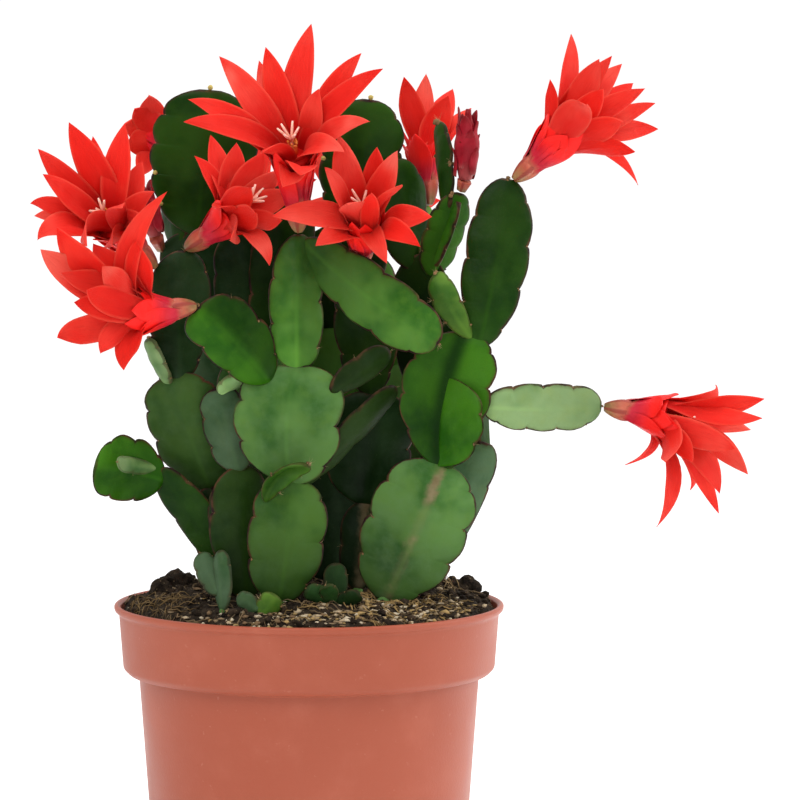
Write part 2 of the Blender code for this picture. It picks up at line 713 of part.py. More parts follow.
def clod_meshes():
    """Lumps of peat: the big ones at the back left and right, and smaller ones strewn near the rim."""
    rng = random.Random(11)
    places = list(BIG_CLODS)
    for k in range(CLODS):
        angle = rng.uniform(0, 2 * math.pi)
        r = rng.uniform(47, 52)
        places.append((r * math.cos(angle), r * math.sin(angle), rng.uniform(1.4, 2.4)))
    meshes = []
    for x, y, size in places:
        mesh = bmesh.new()
        bmesh.ops.create_icosphere(mesh, subdivisions=1, radius=size * MM)
        for vertex in mesh.verts:
            vertex.co *= rng.uniform(0.8, 1.15)
        bmesh.ops.translate(mesh, verts=mesh.verts, vec=Vector((x, y, heap(x, y) + size * 0.4)) * MM)
        meshes.append(outward(mesh))
    return meshes


# Building


def clear():
    for obj in list(bpy.data.objects):
        bpy.data.objects.remove(obj)


def material(name):
    made = bpy.data.materials.get(name)
    if made is None:
        made = bpy.data.materials.new(name)
        made.use_nodes = True
        made.node_tree.nodes["Principled BSDF"].inputs["Base Color"].default_value = COLOURS[name]
    return made


def as_object(name, mesh, collection):
    data = bpy.data.meshes.new(name)
    mesh.to_mesh(data)
    mesh.free()
    obj = bpy.data.objects.new(name, data)
    collection.objects.link(obj)
    return obj


def keep_largest(data):
    """Drops loose scraps, and the shells of sealed hollows, from a joined mesh."""
    mesh = bmesh.new()
    mesh.from_mesh(data)
    shells = []
    left = set(mesh.faces)
    while left:
        shell = {left.pop()}
        edge = set(shell)
        while edge:
            edge = {other for face in edge for e in face.edges for other in e.link_faces} & left
            left -= edge
            shell |= edge
        shells.append(shell)
    shells.sort(key=len)
    bmesh.ops.delete(mesh, geom=[face for shell in shells[:-1] for face in shell], context="FACES")
    mesh.to_mesh(data)
    mesh.free()


def solid(name, colour, meshes, cutters=()):
    """One node: the union of its meshes, less its cutters."""
    first, *others = meshes
    obj = as_object(name, first, parts)
    for operation, group in (("UNION", others), ("DIFFERENCE", list(cutters))):
        if not group:
            continue
        helpers = bpy.data.collections.new("helpers")
        bpy.context.scene.collection.children.link(helpers)
        helpers.hide_render = True
        for mesh in group:
            as_object("helper", mesh, helpers)
        modifier = obj.modifiers.new("join", "BOOLEAN")
        modifier.operation = operation
        modifier.operand_type = "COLLECTION"
        modifier.collection = helpers
        modifier.solver = "MANIFOLD"
        bpy.context.view_layer.update()
        graph = bpy.context.evaluated_depsgraph_get()
        joined = bpy.data.meshes.new_from_object(obj.evaluated_get(graph))
        obj.modifiers.clear()
        obj.data = joined
        joined.name = name
        for helper in list(helpers.objects):
            bpy.data.objects.remove(helper)
        bpy.data.collections.remove(helpers)
        keep_largest(obj.data)
    obj.data.materials.clear()
    obj.data.materials.append(material(colour))
    return obj


clear()
parts = bpy.data.collections.new("potted_easter_cactus")
bpy.context.scene.collection.children.link(parts)

holes = [
    peg(28 * math.cos(a), 28 * math.sin(a), -1, 5, DRAIN_RADIUS, 8)
    for a in (2 * math.pi * (k + 0.5) / DRAIN_HOLES for k in range(DRAIN_HOLES))
]
solid("pot", "plastic", [revolved(POT_OUTSIDE + POT_INSIDE, POT_SIDES)], holes)

feet = []
for stem, ((x, depth), _) in STEMS.items():
    top = heap(x, depth)
    made = [peg(x, depth, top - FOOT_DEPTH, top + 2.5, foot_radius(stem), 6)]
    made += [segment.mesh() for segment in stem_segments(stem).values()]
    solid(stem, "green", made)
    feet.append(peg(x, depth, top - FOOT_DEPTH - GAP, top + 12, foot_radius(stem) + GAP, 6))
solid("soil", "peat", [soil_mesh()] + clod_meshes(), feet)

for bloom in BLOOMS:
    foot, throat, mouth, _ = bloom_frame(bloom)
    petals = [petal.mesh() for petal in bloom_petals(bloom)]
    solid(bloom, "red", [tube_mesh(foot, throat, mouth)] + petals)
    solid(bloom + "_ovary", "olive", [ovary_mesh(foot, throat)])
    solid(bloom + "_stamens", "yellow", stamen_meshes(throat, mouth))

for bud in BUDS:
    foot, shoulder, _, _ = bud_frame(bud)
    solid(bud, "crimson", bud_meshes(bud))
    path = [foot, foot.lerp(shoulder, 0.85)]
    solid(bud + "_ovary", "olive", [outward(spindle(path, [1.6, 2], 8))])
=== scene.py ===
"""The looks of a flowering easter cactus in a plastic nursery pot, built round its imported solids.

Lengths in the tables are millimetres. A place is (x, height, depth): x and height as seen in the photograph, by a
viewer a little above the horizon, and depth away from the viewer, with 0 at the axis of the pot.
"""

import json
import math
import random

import bmesh
import bpy
import numpy as np
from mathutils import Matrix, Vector, noise

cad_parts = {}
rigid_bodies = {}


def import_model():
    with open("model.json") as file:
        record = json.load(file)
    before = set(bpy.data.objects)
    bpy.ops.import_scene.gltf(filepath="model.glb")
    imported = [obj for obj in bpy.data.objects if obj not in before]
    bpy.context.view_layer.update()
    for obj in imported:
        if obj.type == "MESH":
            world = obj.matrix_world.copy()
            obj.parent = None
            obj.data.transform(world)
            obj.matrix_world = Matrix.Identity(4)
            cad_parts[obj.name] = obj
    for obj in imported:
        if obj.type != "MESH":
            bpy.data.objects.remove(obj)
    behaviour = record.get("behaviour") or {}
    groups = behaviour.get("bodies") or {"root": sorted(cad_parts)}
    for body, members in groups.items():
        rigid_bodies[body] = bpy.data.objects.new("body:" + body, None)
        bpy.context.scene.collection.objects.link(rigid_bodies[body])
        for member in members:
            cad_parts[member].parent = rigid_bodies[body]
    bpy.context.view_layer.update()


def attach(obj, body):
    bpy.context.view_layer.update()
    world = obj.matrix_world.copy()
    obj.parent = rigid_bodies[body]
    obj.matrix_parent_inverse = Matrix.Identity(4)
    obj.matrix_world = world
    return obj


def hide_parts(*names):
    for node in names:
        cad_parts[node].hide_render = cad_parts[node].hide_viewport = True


MM = 0.001
GAP = 0.3

# The viewer: elevation, distance, the place in the middle of the photograph, and the height of the view there
SEEN_FROM = math.radians(5.5)
SEEN_AT = 2000
SEEN_MIDDLE = (28, 167)
VIEW_HEIGHT = 245.6
SENSOR = 36

# Lights, in metres: name, place, width and height, power. They point at LIT
LIT = (0.02, 0, 0.17)
LIGHTS = [
    ("key", (-0.35, -0.9, 1.1), (0.6, 0.6), 7),
    ("top", (0.1, 0.1, 1.2), (0.8, 0.8), 6),
    ("rim", (0.85, 0.1, 0.6), (0.4, 0.9), 6),
]

# Floor, in millimetres
FLOOR_Z = -0.2
FLOOR_RINGS = (60000, 12000, 3000, 900, 300, 1)

# Pot and soil
POT_SIDES = 160
POT_OUTSIDE = [
    (0, 0), (17, 0), (19, 2), (36.5, 2), (38.5, 0), (45.5, 0), (46.3, 0.8), (52.4, 83.4), (55.4, 83.6),
    (57.2, 85.4), (58.5, 102.2), (59.9, 103.2), (60, 104.6), (59, 105.2),
]
POT_INSIDE = [(57.8, 104.4), (55.8, 86.4), (51.4, 85), (44.6, 1.6), (37.6, 1.6), (35.8, 3.4), (19.6, 3.4), (0, 3.4)]
DRAIN_HOLES = 8
DRAIN_RADIUS = 3.5
DRAIN_REACH = 28
SOIL_RADIUS = 57
SOIL_EDGE = 103.4
SOIL_RISE = 6
SOIL_SIDES = 220
SOIL_RINGS = 62
SOIL_SIDE = [(44.2, 3.8), (50.8, 85.3), (55.1, 86.8), (57, 103)]
BIG_CLODS = [(-42, 16, 4.8), (-46, 8, 3.4), (-38, 22, 3.2), (48, 13, 4.6), (44, 21, 3.2)]
CLODS = 700

# Thickness of a fibre on the soil, along its length
STRAND_RADII = (0.5, 1, 1, 0.9, 0.7, 0.3)

# Grains on the soil: how many, their direction from the middle and its spread in degrees, nearest and farthest
GRAINS = [(300, -52, 17, 34, 56.5), (150, -98, 16, 47, 56.5), (150, 100, 90, 15, 56)]
GRAIN_COLOURS = [(0.5, 0.4, 0.26), (0.42, 0.29, 0.12), (0.6, 0.52, 0.38), (0.2, 0.13, 0.07), (0.3, 0.22, 0.13)]

# Segments
SEGMENT_THICK = 2.8
WIDEST = 0.56
SCALLOP = 0.09
AREOLE_WOOL = (0.2, 0.12, 0.055)
KNOB_GOLD = (0.5, 0.4, 0.12)
BRISTLE_STRAW = (0.42, 0.33, 0.17)
BRISTLE_RADIUS = 0.05

# Blooms
OVARY_LENGTH = 8
OVARY_RADIUS = 3.6
OVARY_RIBS = 5
THROAT_RADIUS = 4.2
FUNNEL = 8
STAMENS = 24
BUD_SCALES = 15

# Angle, in radians, between one petal of a spiral and the next
GOLDEN_TURN = 2.4

# Width of a petal as shown, as a share of the one in the table
PETAL_WIDTH = 0.97

# Colours along a filament and along a lobe of the stigma, and those of a pollen grain and of the style
FILAMENT = [(0.85, 0.06, 0.02), (0.85, 0.11, 0.02), (0.9, 0.2, 0.05)]
STIGMA = [(0.9, 0.34, 0.24), (0.92, 0.45, 0.34), (0.94, 0.56, 0.45), (0.95, 0.62, 0.52)]
POLLEN = (0.95, 0.34, 0.07)
STYLE = (0.9, 0.3, 0.2)

# How far, in degrees, a petal may turn its face to the viewer: as a rule, and in some blooms
PETAL_TURN = 36
PETAL_TURNS = {
    "bloom_low_left": 74, "bloom_left_middle": 50, "bloom_top_right": 48, "bloom_left": 44, "bloom_far_right": 46,
}

# Petals that only fill a bloom: place of the tip, width and curl
MORE_PETALS = {
    "bloom_low_left": [((-53, 216, -62), 10, 0.15), ((-66, 215, -58), 11, 0.12), ((-72, 197, -74), 9.5, 0.1)],
    "bloom_left": [((-60, 214, -60), 9, 0.2), ((-49, 222, -60), 8.5, 0.15)],
    "bloom_left_middle": [((-18, 232, -46), 9.5, 0.1), ((-24, 216, -48), 9, 0.2)],
    "bloom_top": [((3, 262, -56), 9, 0.1), ((-8, 232, -64), 9, 0.2)],
    "bloom_far_right": [((131, 152, -38), 9, 0.1), ((118, 148, -38), 8, 0.15)],
    "bloom_top_right": [((96, 252, -42), 9, 0.1), ((90, 262, -40), 9, 0.1)],
}

# stem: (x, depth) of its foot, then its segments:
# name, parent, how far across and along the parent it starts, place of the tip, width, turn, notches, bow, arch
STEMS = {
    "stem_front": ((-9, -34), [
        ("a1", None, 0, 0, (-5, 143, -39), 25, 8, 3, 0.5, 1),
        ("a2", "a1", 0, 0.95, (-3, 178, -41), 34, -4, 3, -2.5, 1),
        ("a3", "a2", 0, 0.95, (-3, 218, -34), 17.5, 4, 3, -0.5, 1.5),
        ("a4", "a2", -0.5, 0.84, (-34, 196, -50), 21, -8, 3, 1.5, 2),
        ("a5", "a3", 0.3, 0.95, (40, 184, -45), 20, 8, 4, 1, 2),
        ("a6", "a1", -0.75, 0.8, (0, 147, -50), 9, 25, 2, -2.5, -3),
        ("a7", "a2", 0.8, 0.8, (25, 182, -33), 11, 30, 2, 0, 0),
        ("a8", "a1", 0.3, 0.94, (27, 171, -27), 13, 48, 3, 0, 0),
        ("a9", "a1", 0, 0.9, (-5, 173, -22), 20, 90, 2, 0, 0),
    ]),
    "stem_right_front": ((23, -27), [
        ("d1", None, 0, 0, (41, 148, -33), 33, 6, 4, 0.5, 1),
        ("d2", "d1", 0.05, 0.95, (48, 188, -31), 30, -8, 4, -3, 0),
        ("d3", "d2", 0.6, 0.9, (61, 235, -22), 20.5, 4, 4, 0.8, 1),
        ("d4", "d2", 0.4, 0.95, (39, 206, -42), 9, 10, 3, -1, -2),
        ("d5", "d2", 0.8, 0.5, (90, 165, -22), 15, 10, 4, 0.5, 0),
        ("d6", "d1", 0.1, 0.9, (46, 176, -14), 20, 80, 2, 0, 0),
    ]),
    "stem_middle_right": ((15, -14), [
        ("f1", None, 0, 0, (17, 136, -15), 14, 10, 2, 0, 0),
        ("f2", "f1", 0, 0.95, (20, 170, -17), 29, 8, 3, 0, 1),
        ("f3", "f2", -0.1, 0.95, (16, 208, -24), 20, 0, 3, 0, 0),
    ]),
    "stem_left_front": ((-19, -27), [
        ("b1", None, 0, 0, (-21, 147, -30), 21, 18, 3, -0.5, 1),
        ("b2", "b1", -0.1, 0.95, (-28, 171, -32), 16, -6, 3, 0, 0),
        ("b3", "b2", 0, 0.93, (-19, 175, -37), 9, 50, 3, 0, 0),
        ("b4", None, 0, 0, (-27, 142, -24), 12, 25, 2, -1, 0),
    ]),
    "stem_left_low": ((-16, -18), [
        ("c1", None, 0, 0, (-46, 146, -27), 14, -12, 3, 0, 0),
        ("c2", "c1", -0.2, 0.92, (-66, 147, -33), 21, -4, 3, 0.5, -1),
        ("c3", "c2", 0.5, 0.12, (-59, 148, -39), 5.5, 20, 2, 0, -2),
    ]),
    "stem_left_middle": ((-25, -8), [
        ("g1", None, 0, 0, (-30, 141, -19), 16, 12, 3, 0, 0),
        ("g2", "g1", 0, 0.95, (-42, 175, -27), 26, -10, 4, 0, 2),
        ("g3", "g2", 0.2, 0.93, (-38, 213, -22), 20, 10, 3, -1, 1),
        ("g4", "g2", -0.2, 0.93, (-49, 186, -31), 10, -62, 3, 0, 1),
        ("g5", "g1", 0, 0.9, (-31, 170, -2), 20, 95, 2, 0, 0),
    ]),
    "stem_left_back": ((-20, 14), [
        ("h1", None, 0, 0, (-34, 146, 10), 26, -30, 2, 0, 0),
        ("h2", "h1", 0, 0.95, (-35, 187, 8), 27, -20, 2, 0, 0),
        ("h3", "h2", 0.1, 0.95, (-35, 219, 2), 25, -10, 3, 0, 0),
        ("h4", "h3", 0.1, 0.95, (-30, 262, -4), 34, 4, 5, 0, 1),
        ("h5", "h3", -0.5, 0.85, (-42, 240, 16), 17, -50, 3, 0, 0),
        ("h6", "h1", 0, 0.9, (-32, 178, 28), 24, 85, 2, 0, 0),
    ]),
    "stem_middle": ((-6, -10), [
        ("i1", None, 0, 0, (-11, 146, -9), 26, 4, 2, 0, 0),
        ("i2", "i1", 0, 0.95, (-16, 183, -13), 30, -8, 2, 0, 0),
        ("i3", "i2", -0.3, 0.93, (-22, 219, -15), 18, 4, 3, 0, 0),
        ("i4", "i2", 0.4, 0.93, (-5, 234, -15), 20, 12, 3, 0, 0),
        ("i5", "i2", 0, 0.5, (-14, 204, 6), 20, 95, 2, 0, 0),
    ]),
    "stem_back": ((6, 12), [
        ("j1", None, 0, 0, (4, 147, 10), 32, 16, 2, 0, 0),
        ("j2", "j1", 0, 0.95, (6, 191, 8), 33, -10, 2, 0, 0),
        ("j3", "j2", 0.1, 0.94, (13, 221, 4), 28, 10, 3, 0, 0),
        ("j4", "j3", 0, 0.95, (19, 259, -3), 26, 4, 4, 0, 1),
        ("j5", "j1", 0, 0.9, (6, 180, 30), 26, 95, 2, 0, 0),
        ("j6", "j3", 0, 0.5, (16, 236, 24), 22, 80, 2, 0, 0),
    ]),
    "stem_right_back": ((31, 3), [
        ("k1", None, 0, 0, (55, 154, -8), 17, 14, 2, 0, 0),
        ("k2", "k1", -0.3, 0.84, (33, 212, -5), 24, -18, 3, -3, 0),
        ("k4", "k2", 0.45, 0.88, (46.5, 230.5, -9), 14, 22, 4, 0, 0),
        ("k5", "k2", -0.3, 0.93, (27, 241, -2), 18, 24, 3, 0, 0),
        ("k6", "k4", -0.3, 0.75, (40, 252, 0), 12, -66, 3, 0, 0),
        ("k7", "k2", 0.3, 0.94, (37, 226, 12), 9, 60, 2, 0, 0),
        ("k8", "k1", 0.3, 0.9, (52, 184, 16), 22, 80, 2, 0, 0),
    ]),
    "stem_rear_left": ((-12, 32), [
        ("m1", None, 0, 0, (-22, 145, 40), 30, 160, 2, 0, 0),
        ("m2", "m1", 0, 0.95, (-20, 182, 44), 28, 190, 2, 0, 0),
        ("m3", "m2", 0.1, 0.95, (-18, 214, 40), 21, 170, 3, 0, 0),
        ("m4", "m1", 0.6, 0.85, (-46, 170, 38), 20, 130, 3, 0, 0),
        ("m5", "m1", 0, 0.9, (-24, 172, 62), 22, 80, 2, 0, 0),
    ]),
    "stem_rear_right": ((20, 28), [
        ("n1", None, 0, 0, (28, 143, 34), 30, 195, 2, 0, 0),
        ("n2", "n1", 0, 0.95, (28, 179, 40), 28, 170, 2, 0, 0),
        ("n3", "n2", 0.1, 0.95, (15, 212, 42), 20, 190, 3, 0, 0),
        ("n4", "n1", -0.6, 0.85, (52, 168, 30), 18, 215, 3, 0, 0),
        ("n5", "n1", 0, 0.9, (30, 174, 58), 22, 100, 2, 0, 0),
    ]),
    "sprout_left": ((-25.5, -38), [
        ("p1", None, 0, 0, (-27, 121, -37), 8, -42, 2, 0, 0),
        ("p2", "p1", -0.4, 0.25, (-33.5, 120, -31), 8, 6, 3, 0, 0),
    ]),
    "sprout_front": ((-14, -45), [
        ("q1", None, 0, 0, (-10, 107, -45), 8, 10, 2, 0, 0),
        ("q2", "q1", -0.5, 0.15, (-22, 107, -43), 6, -10, 2, 0, 0),
    ]),
    "sprout_middle": ((8, -37), [
        ("r1", None, 0, 0, (8.5, 117, -36), 8, 6, 2, 0, 0),
        ("r2", "r1", -0.3, 0.1, (-1, 109, -40), 7, -16, 2, 0, 0),
        ("r3", "r1", 0.3, 0.1, (16, 107, -41), 6, 20, 2, 0, 0),
        ("r4", "r1", 0, 0.1, (5, 110, -43), 6, 0, 2, 0, 0),
    ]),
}

# A third wing on a segment: name, parent, wing's reach to the side, turn from the parent, along from and to
WINGS = {
    "stem_right_front": [("w2", "d2", 11, 62, 0.08, 0.9)],
    "stem_right_back": [("w4", "k4", 5, 90, 0.1, 0.92)],
}

# bloom: what it stands on (stem, segment, across, along), place of its throat, direction of its mouth, then its petals:
# place of the tip, width, curl. The photograph shows none of those of the last two
BLOOMS = {
    "bloom_top": (("stem_front", "a3", 0, 1), (-4, 238, -44), (-0.1, 0.8, -0.6), [
        ((1, 282, -40), 10, 0.1), ((-13, 275, -47), 9.5, 0.1), ((-27, 272, -52), 9.5, 0.15),
        ((-37, 259, -58), 8.5, 0.2), ((-38, 252, -62), 8.5, 0.2), ((16, 273, -50), 8.5, 0.15),
        ((23, 268, -54), 8.5, 0.2), ((19, 252, -66), 8, 0.25), ((-2, 236, -72), 10, 0.15), ((11, 243, -68), 8, 0.3),
        ((-15, 271, -36), 8, 0.1), ((-4, 271, -33), 8, 0.1), ((-14, 243, -71), 8, 0.12),
    ]),
    "bloom_front": (("stem_middle_right", "f3", 0, 1), (17, 218, -40), (-0.05, 0.8, -0.6), [
        ((9, 248, -44), 10, 0.1), ((5, 238, -58), 8.5, 0.1), ((21, 244, -46), 9, 0.1), ((27, 243, -50), 9, 0.1),
        ((29, 233, -60), 7, 0.1), ((38, 223, -54), 9, 0.14), ((34, 214, -60), 8, 0.28), ((-11, 223, -58), 10, 0.2),
        ((12, 227, -66), 10, 0.15), ((19, 230, -64), 6, 0.1), ((2, 214, -60), 8, 0.2), ((24, 209, -62), 7, 0.2),
    ]),
    "bloom_left_middle": (("stem_left_middle", "g3", 0, 1), (-26, 221, -28), (0.7, 0.6, -0.25), [
        ((-35, 242, -27), 6, 0.2), ((-22, 246, -24), 9, 0.1), ((-14, 243, -25), 9.5, 0.1), ((-9, 237, -28), 9, 0.1),
        ((-4, 230, -31), 9, 0.1), ((-8, 222, -42), 8, 0.1), ((-16, 224, -50), 9.5, 0.1), ((-28, 226, -48), 8, 0.1),
        ((-12, 208, -43), 7, 0.35), ((-30, 248, -22), 8, 0.1),
    ]),
    "bloom_left": (("stem_left_middle", "g3", -1, 0.85), (-57, 218, -34), (-0.5, 0.62, -0.6), [
        ((-73, 252, -40), 10.5, 0.1), ((-56, 252, -36), 9.5, 0.1), ((-83, 244, -44), 8.5, 0.12),
        ((-81, 236, -54), 8.5, 0.12), ((-85, 227, -44), 7, 0.35), ((-84, 223, -38), 7, 0.2),
        ((-83, 216, -56), 10, 0.35), ((-51, 240, -32), 8, 0.1), ((-57, 226, -70), 7, 0.1), ((-47, 231, -56), 7.5, 0.15),
        ((-68, 214, -68), 9, 0.2), ((-66, 248, -28), 8, 0.1),
    ]),
    "bloom_low_left": (("stem_front", "a4", 0, 1), (-47, 193.5, -56), (-0.97, 0.1, -0.2), [
        ((-43, 231, -60), 8.5, 0.45), ((-77, 220, -65), 11, 0.15), ((-82, 213, -69), 11, 0.12),
        ((-76, 206, -69), 9, 0.1), ((-77, 186, -66), 10, 0.2), ((-64, 181, -70), 8, 0.25), ((-57, 176, -62), 8.5, 0.3),
        ((-68, 201, -80), 9, 0.1), ((-63, 208, -78), 9, 0.1), ((-70, 202, -42), 8.5, 0.12), ((-62, 186, -43), 8, 0.25),
    ]),
    "bloom_top_right": (("stem_right_front", "d3", 0.5, 0.985), (74, 244, -24), (0.66, 0.74, -0.1), [
        ((80, 279, -14), 6.5, 0.15), ((74, 265, -30), 6, 0.1), ((89, 271, -33), 10, 0.1), ((93, 272, -24), 8, 0.05),
        ((96, 270, -14), 9, 0.05), ((99, 264, -8), 9, 0.1), ((103, 262, -34), 8, 0.1), ((106, 258, -20), 7, 0.1),
        ((107, 250, -14), 8, 0.1), ((100, 243, -36), 9, 0.1), ((101, 233, -24), 5, 0.32), ((85, 257, -48), 11, 0.2),
    ]),
    "bloom_far_right": (("stem_right_front", "d5", 0, 1), (104, 163, -24), (0.93, -0.2, -0.2), [
        ((125, 172, -16), 6, 0.5), ((140, 167, -24), 8.5, 0.05), ((139, 161, -32), 8, 0.05), ((136, 158, -14), 7, 0.05),
        ((135, 144, -32), 12, 0.1), ((126, 138, -22), 9, 0.2), ((126, 132, -14), 6, 0.1), ((107, 128, -28), 6.5, 0.3),
        ((97, 147, -16), 5, 0.55), ((117, 139, -10), 5, 0.3), ((109, 148, -46), 10, 0.2),
    ]),
    "bloom_right_back": (("stem_right_back", "k7", 0, 1), (36, 239, 15), (0.02, 0.98, 0.15), [
        ((29, 266, 12), 9, 0.05), ((36, 267, 19), 9, 0.05), ((43, 260, 11), 10, 0.05), ((30, 264, 26), 9, 0.1),
        ((44, 262, 28), 9, 0.1), ((50, 256, 20), 8, 0.1), ((37, 254, 36), 9, 0.1),
    ]),
    "bloom_left_back": (("stem_left_back", "h5", 0, 1), (-44, 246, 28), (-0.3, 0.3, 0.9), [
        ((-49, 260, 20), 9, 0.3), ((-53, 256, 22), 9, 0.3), ((-56, 251, 24), 9, 0.3), ((-56, 245, 24), 9, 0.3),
        ((-52, 235, 22), 8, 0.3), ((-35, 256, 54), 9, 0.1), ((-50, 250, 58), 9, 0.1), ((-46, 236, 56), 9, 0.1),
        ((-32, 238, 56), 9, 0.1),
    ]),
    "bloom_rear_left": (("stem_rear_left", "m3", 0, 1), (-20, 223, 52), (-0.1, 0.5, 0.8), None),
    "bloom_rear_right": (("stem_rear_right", "n3", 0, 1), (14, 220, 55), (0.05, 0.45, 0.85), None),
}

# Petals of a bloom that the photograph doesn't show: how many, reach forward and outward, width, first angle
HIDDEN_WHORLS = [(3, 34, 13, 10, 20), (5, 24, 26, 10, 58)]

# bud: what it stands on, place of its shoulder and of its tip, radius
BUDS = {
    "bud_right": (("stem_right_back", "k4", 0, 1), (48, 234.6, -10.5), (49, 257.5, -13), 4.4),
    "bud_left": (("stem_left_back", "h3", -1, 0.82), (-47, 217.5, -4), (-52, 235, -8), 4.4),
}

# Skin of the segments: colour, and how much of it shows a waxy grey bloom
SKIN = {
    "plain": ((0.015, 0.044, 0.005), 0.1),
    "mid": ((0.027, 0.075, 0.011), 0.2),
    "grey": ((0.047, 0.122, 0.025), 0.4),
    "blue": ((0.032, 0.07, 0.03), 0.45),
    "wan": ((0.11, 0.2, 0.075), 0.3),
    "young": ((0.062, 0.145, 0.018), 0.1),
    "fresh": ((0.019, 0.083, 0.003), 0.04),
    "bright": ((0.037, 0.112, 0.014), 0.12),
    "dark": ((0.009, 0.036, 0.002), 0.05),
    # Mostly painted shade, for segments low in the plant or behind others
    "deep": ((0.007, 0.023, 0.005), 0.15),
}

# Which segments have which skin; the others are plain
TONES = {
    "mid": "a1 g2 i1 a9 h6 m5",
    "grey": "a2 d1 i2 m2 n2 n4",
    "blue": "b2 h2 g5 k1 p1 p2 q2",
    "wan": "b3 d5 g4 c3",
    "young": "d4 q1 a6 k7",
    "fresh": "a4 d2 k4 c2",
    "bright": "a3 a5 n5 n3 j2",
    "dark": "h4 j3 j4 k5 d3 h5 m3 k2 d6 k8 i4 i5 k6 c1",
    "deep": "f1 f2 j1 g3 h3 i3 b4 r1 r2 r3 r4 j5 g1 h1",
}

TONE_OF = {key: tone for tone, keys in TONES.items() for key in keys.split()}

# Segments with a young bud like a yellow knob on the tip
KNOBBED = ("h4", "j4")

# Segments with a woolly, bristly tip
WOOLLY = ("k6", "a6", "q1", "d4")

# Segments with a corky brown streak along the midrib
CORKY = {"d1": 1, "f1": 0.6, "g1": 0.5}

# Painted light and shade: how much lighter or darker a skin is on its left and right halves, and towards its base and
# tip
PAINTED_LIGHT_AND_SHADE = {
    "a4": (1.2, 0.5, 0.9, 1.1), "a3": (1.25, 0.8, 1.2, 0.7), "a5": (1.1, 1.0, 0.55, 1.25), "a2": (1.0, 1.0, 0.85, 1.1),
    "a1": (0.9, 1.1, 0.7, 1.2), "d1": (0.85, 1.1, 0.6, 1.2), "d2": (0.7, 1.1, 0.8, 1.1), "g2": (0.8, 0.9, 0.7, 1.0),
    "c2": (0.8, 1.1, 0.8, 1.1), "h4": (1.2, 0.9, 0.8, 1.0), "d3": (0.9, 1.0, 1.2, 0.8), "d5": (1.0, 1.1, 1.1, 0.9),
    "b1": (0.8, 0.9, 0.7, 0.9), "b2": (1.0, 0.9, 0.8, 1.1), "f1": (0.8, 0.9, 0.5, 1.0), "g1": (0.7, 0.9, 0.5, 1.1),
    "a7": (0.6, 0.7, 0.6, 1.0), "a8": (0.8, 0.8, 0.7, 0.9), "j5": (0.5, 0.5, 0.8, 1.0), "n1": (0.5, 0.5, 0.6, 0.8),
    "h1": (0.7, 0.7, 0.7, 0.9), "k2": (0.5, 0.5, 0.8, 1.0), "i4": (0.7, 0.7, 0.8, 1.0), "i5": (0.6, 0.6, 0.9, 1.0),
    "k1": (1.5, 1.5, 1.0, 1.1), "m2": (1.3, 1.2, 0.9, 1.1), "r2": (2.0, 2.0, 1.0, 1.2), "r4": (2.0, 2.0, 1.0, 1.2),
    "d6": (0.5, 0.5, 0.6, 0.9), "b3": (1.4, 1.5, 1.2, 1.2), "m4": (0.7, 0.8, 0.8, 0.9), "j3": (0.5, 0.6, 0.8, 1.0),
}
USUAL_PAINTED_LIGHT_AND_SHADE = (0.92, 1.05, 0.85, 1.1)

# Segments folded so far that their midrib gets painted shade, a dark line along the fold
PAINTED_GROOVE_SHADE = {"d2": 1.0, "f2": 0.5, "a6": 0.7}

# Segments seen edge-on whose foot would stand out through the blade in front of it
SLIM_FEET = {"a9": 0.55, "d6": 0.55}

# Wings as shown, where they stand wider than in the solid: reach, turn, start and end
WIDER_WINGS = {"w2": (17, 32, 0.02, 0.66)}

# Fullness towards the base and towards the tip, where they aren't the usual ones: more is blunter
USUAL_ENDS = (2.3, 2.9)
ENDS = {
    "a3": (5, 2), "a4": (2.2, 5), "a2": (2.4, 3.6), "a5": (2.0, 3.4), "a1": (2.6, 3.2), "d3": (2.4, 2.6),
    "d1": (2.4, 3.2), "g2": (2.6, 3.4), "b2": (3, 3.2), "d5": (3.4, 3.6), "d2": (1.8, 3.2), "k4": (3, 2.4),
    "d4": (1.6, 3),
}

# How far the two margins, left and right as the face is seen, lean to the front, as a share of the half-width
FOLDS = {
    "a3": (-0.22, -0.3), "a4": (-0.12, -0.5), "a5": (-0.1, -0.25), "d2": (0.75, 0.15), "g2": (-0.2, -0.1),
    "a1": (-0.15, -0.2), "a2": (-0.1, -0.14), "d1": (-0.08, -0.12), "h4": (-0.1, -0.2), "d3": (-0.12, -0.1),
    "b2": (-0.2, 0.1), "c2": (-0.1, -0.2), "f2": (-0.2, -0.2), "d5": (-0.2, 0.1), "d4": (-0.2, 0.3), "a6": (0.8, 0.5),
    "k4": (-0.2, -0.3), "c1": (-0.2, 0.2),
}


def seen(place):
    """The point, in millimetres, that the viewer sees at this x and height when it lies at this depth."""
    x, height, depth = place
    spread = depth / SEEN_AT
    x += (x - SEEN_MIDDLE[0]) * spread
    height += (height - SEEN_MIDDLE[1]) * spread
    return np.array([x, depth, (height - depth * math.sin(SEEN_FROM)) / math.cos(SEEN_FROM)])


def heap(x, y):
    """Height of the soil's even surface."""
    r = np.minimum(np.hypot(x, y) / SOIL_RADIUS, 1)
    return SOIL_EDGE + SOIL_RISE * (1 - r**3) + 0.5 * np.sin(0.31 * x + 1) * np.cos(0.27 * y)


def unit(v):
    return v / np.maximum(np.linalg.norm(v, axis=-1, keepdims=True), 1e-9)


def square_to(axis):
    """Two directions square to an axis and to each other."""
    e1 = np.array(Vector(axis).orthogonal().normalized())
    return e1, np.cross(unit(axis), e1)


def off_axis(v, axis):
    """The part of v that is square to the axis, which has length 1."""
    return v - axis * (v @ axis)


def polar(r, angle, e1=np.array([1, 0]), e2=np.array([0, 1])):
    return e1 * (r * math.cos(angle)) + e2 * (r * math.sin(angle))


def turns(count):
    """Even angles round a circle."""
    return 2 * math.pi * np.arange(count) / count


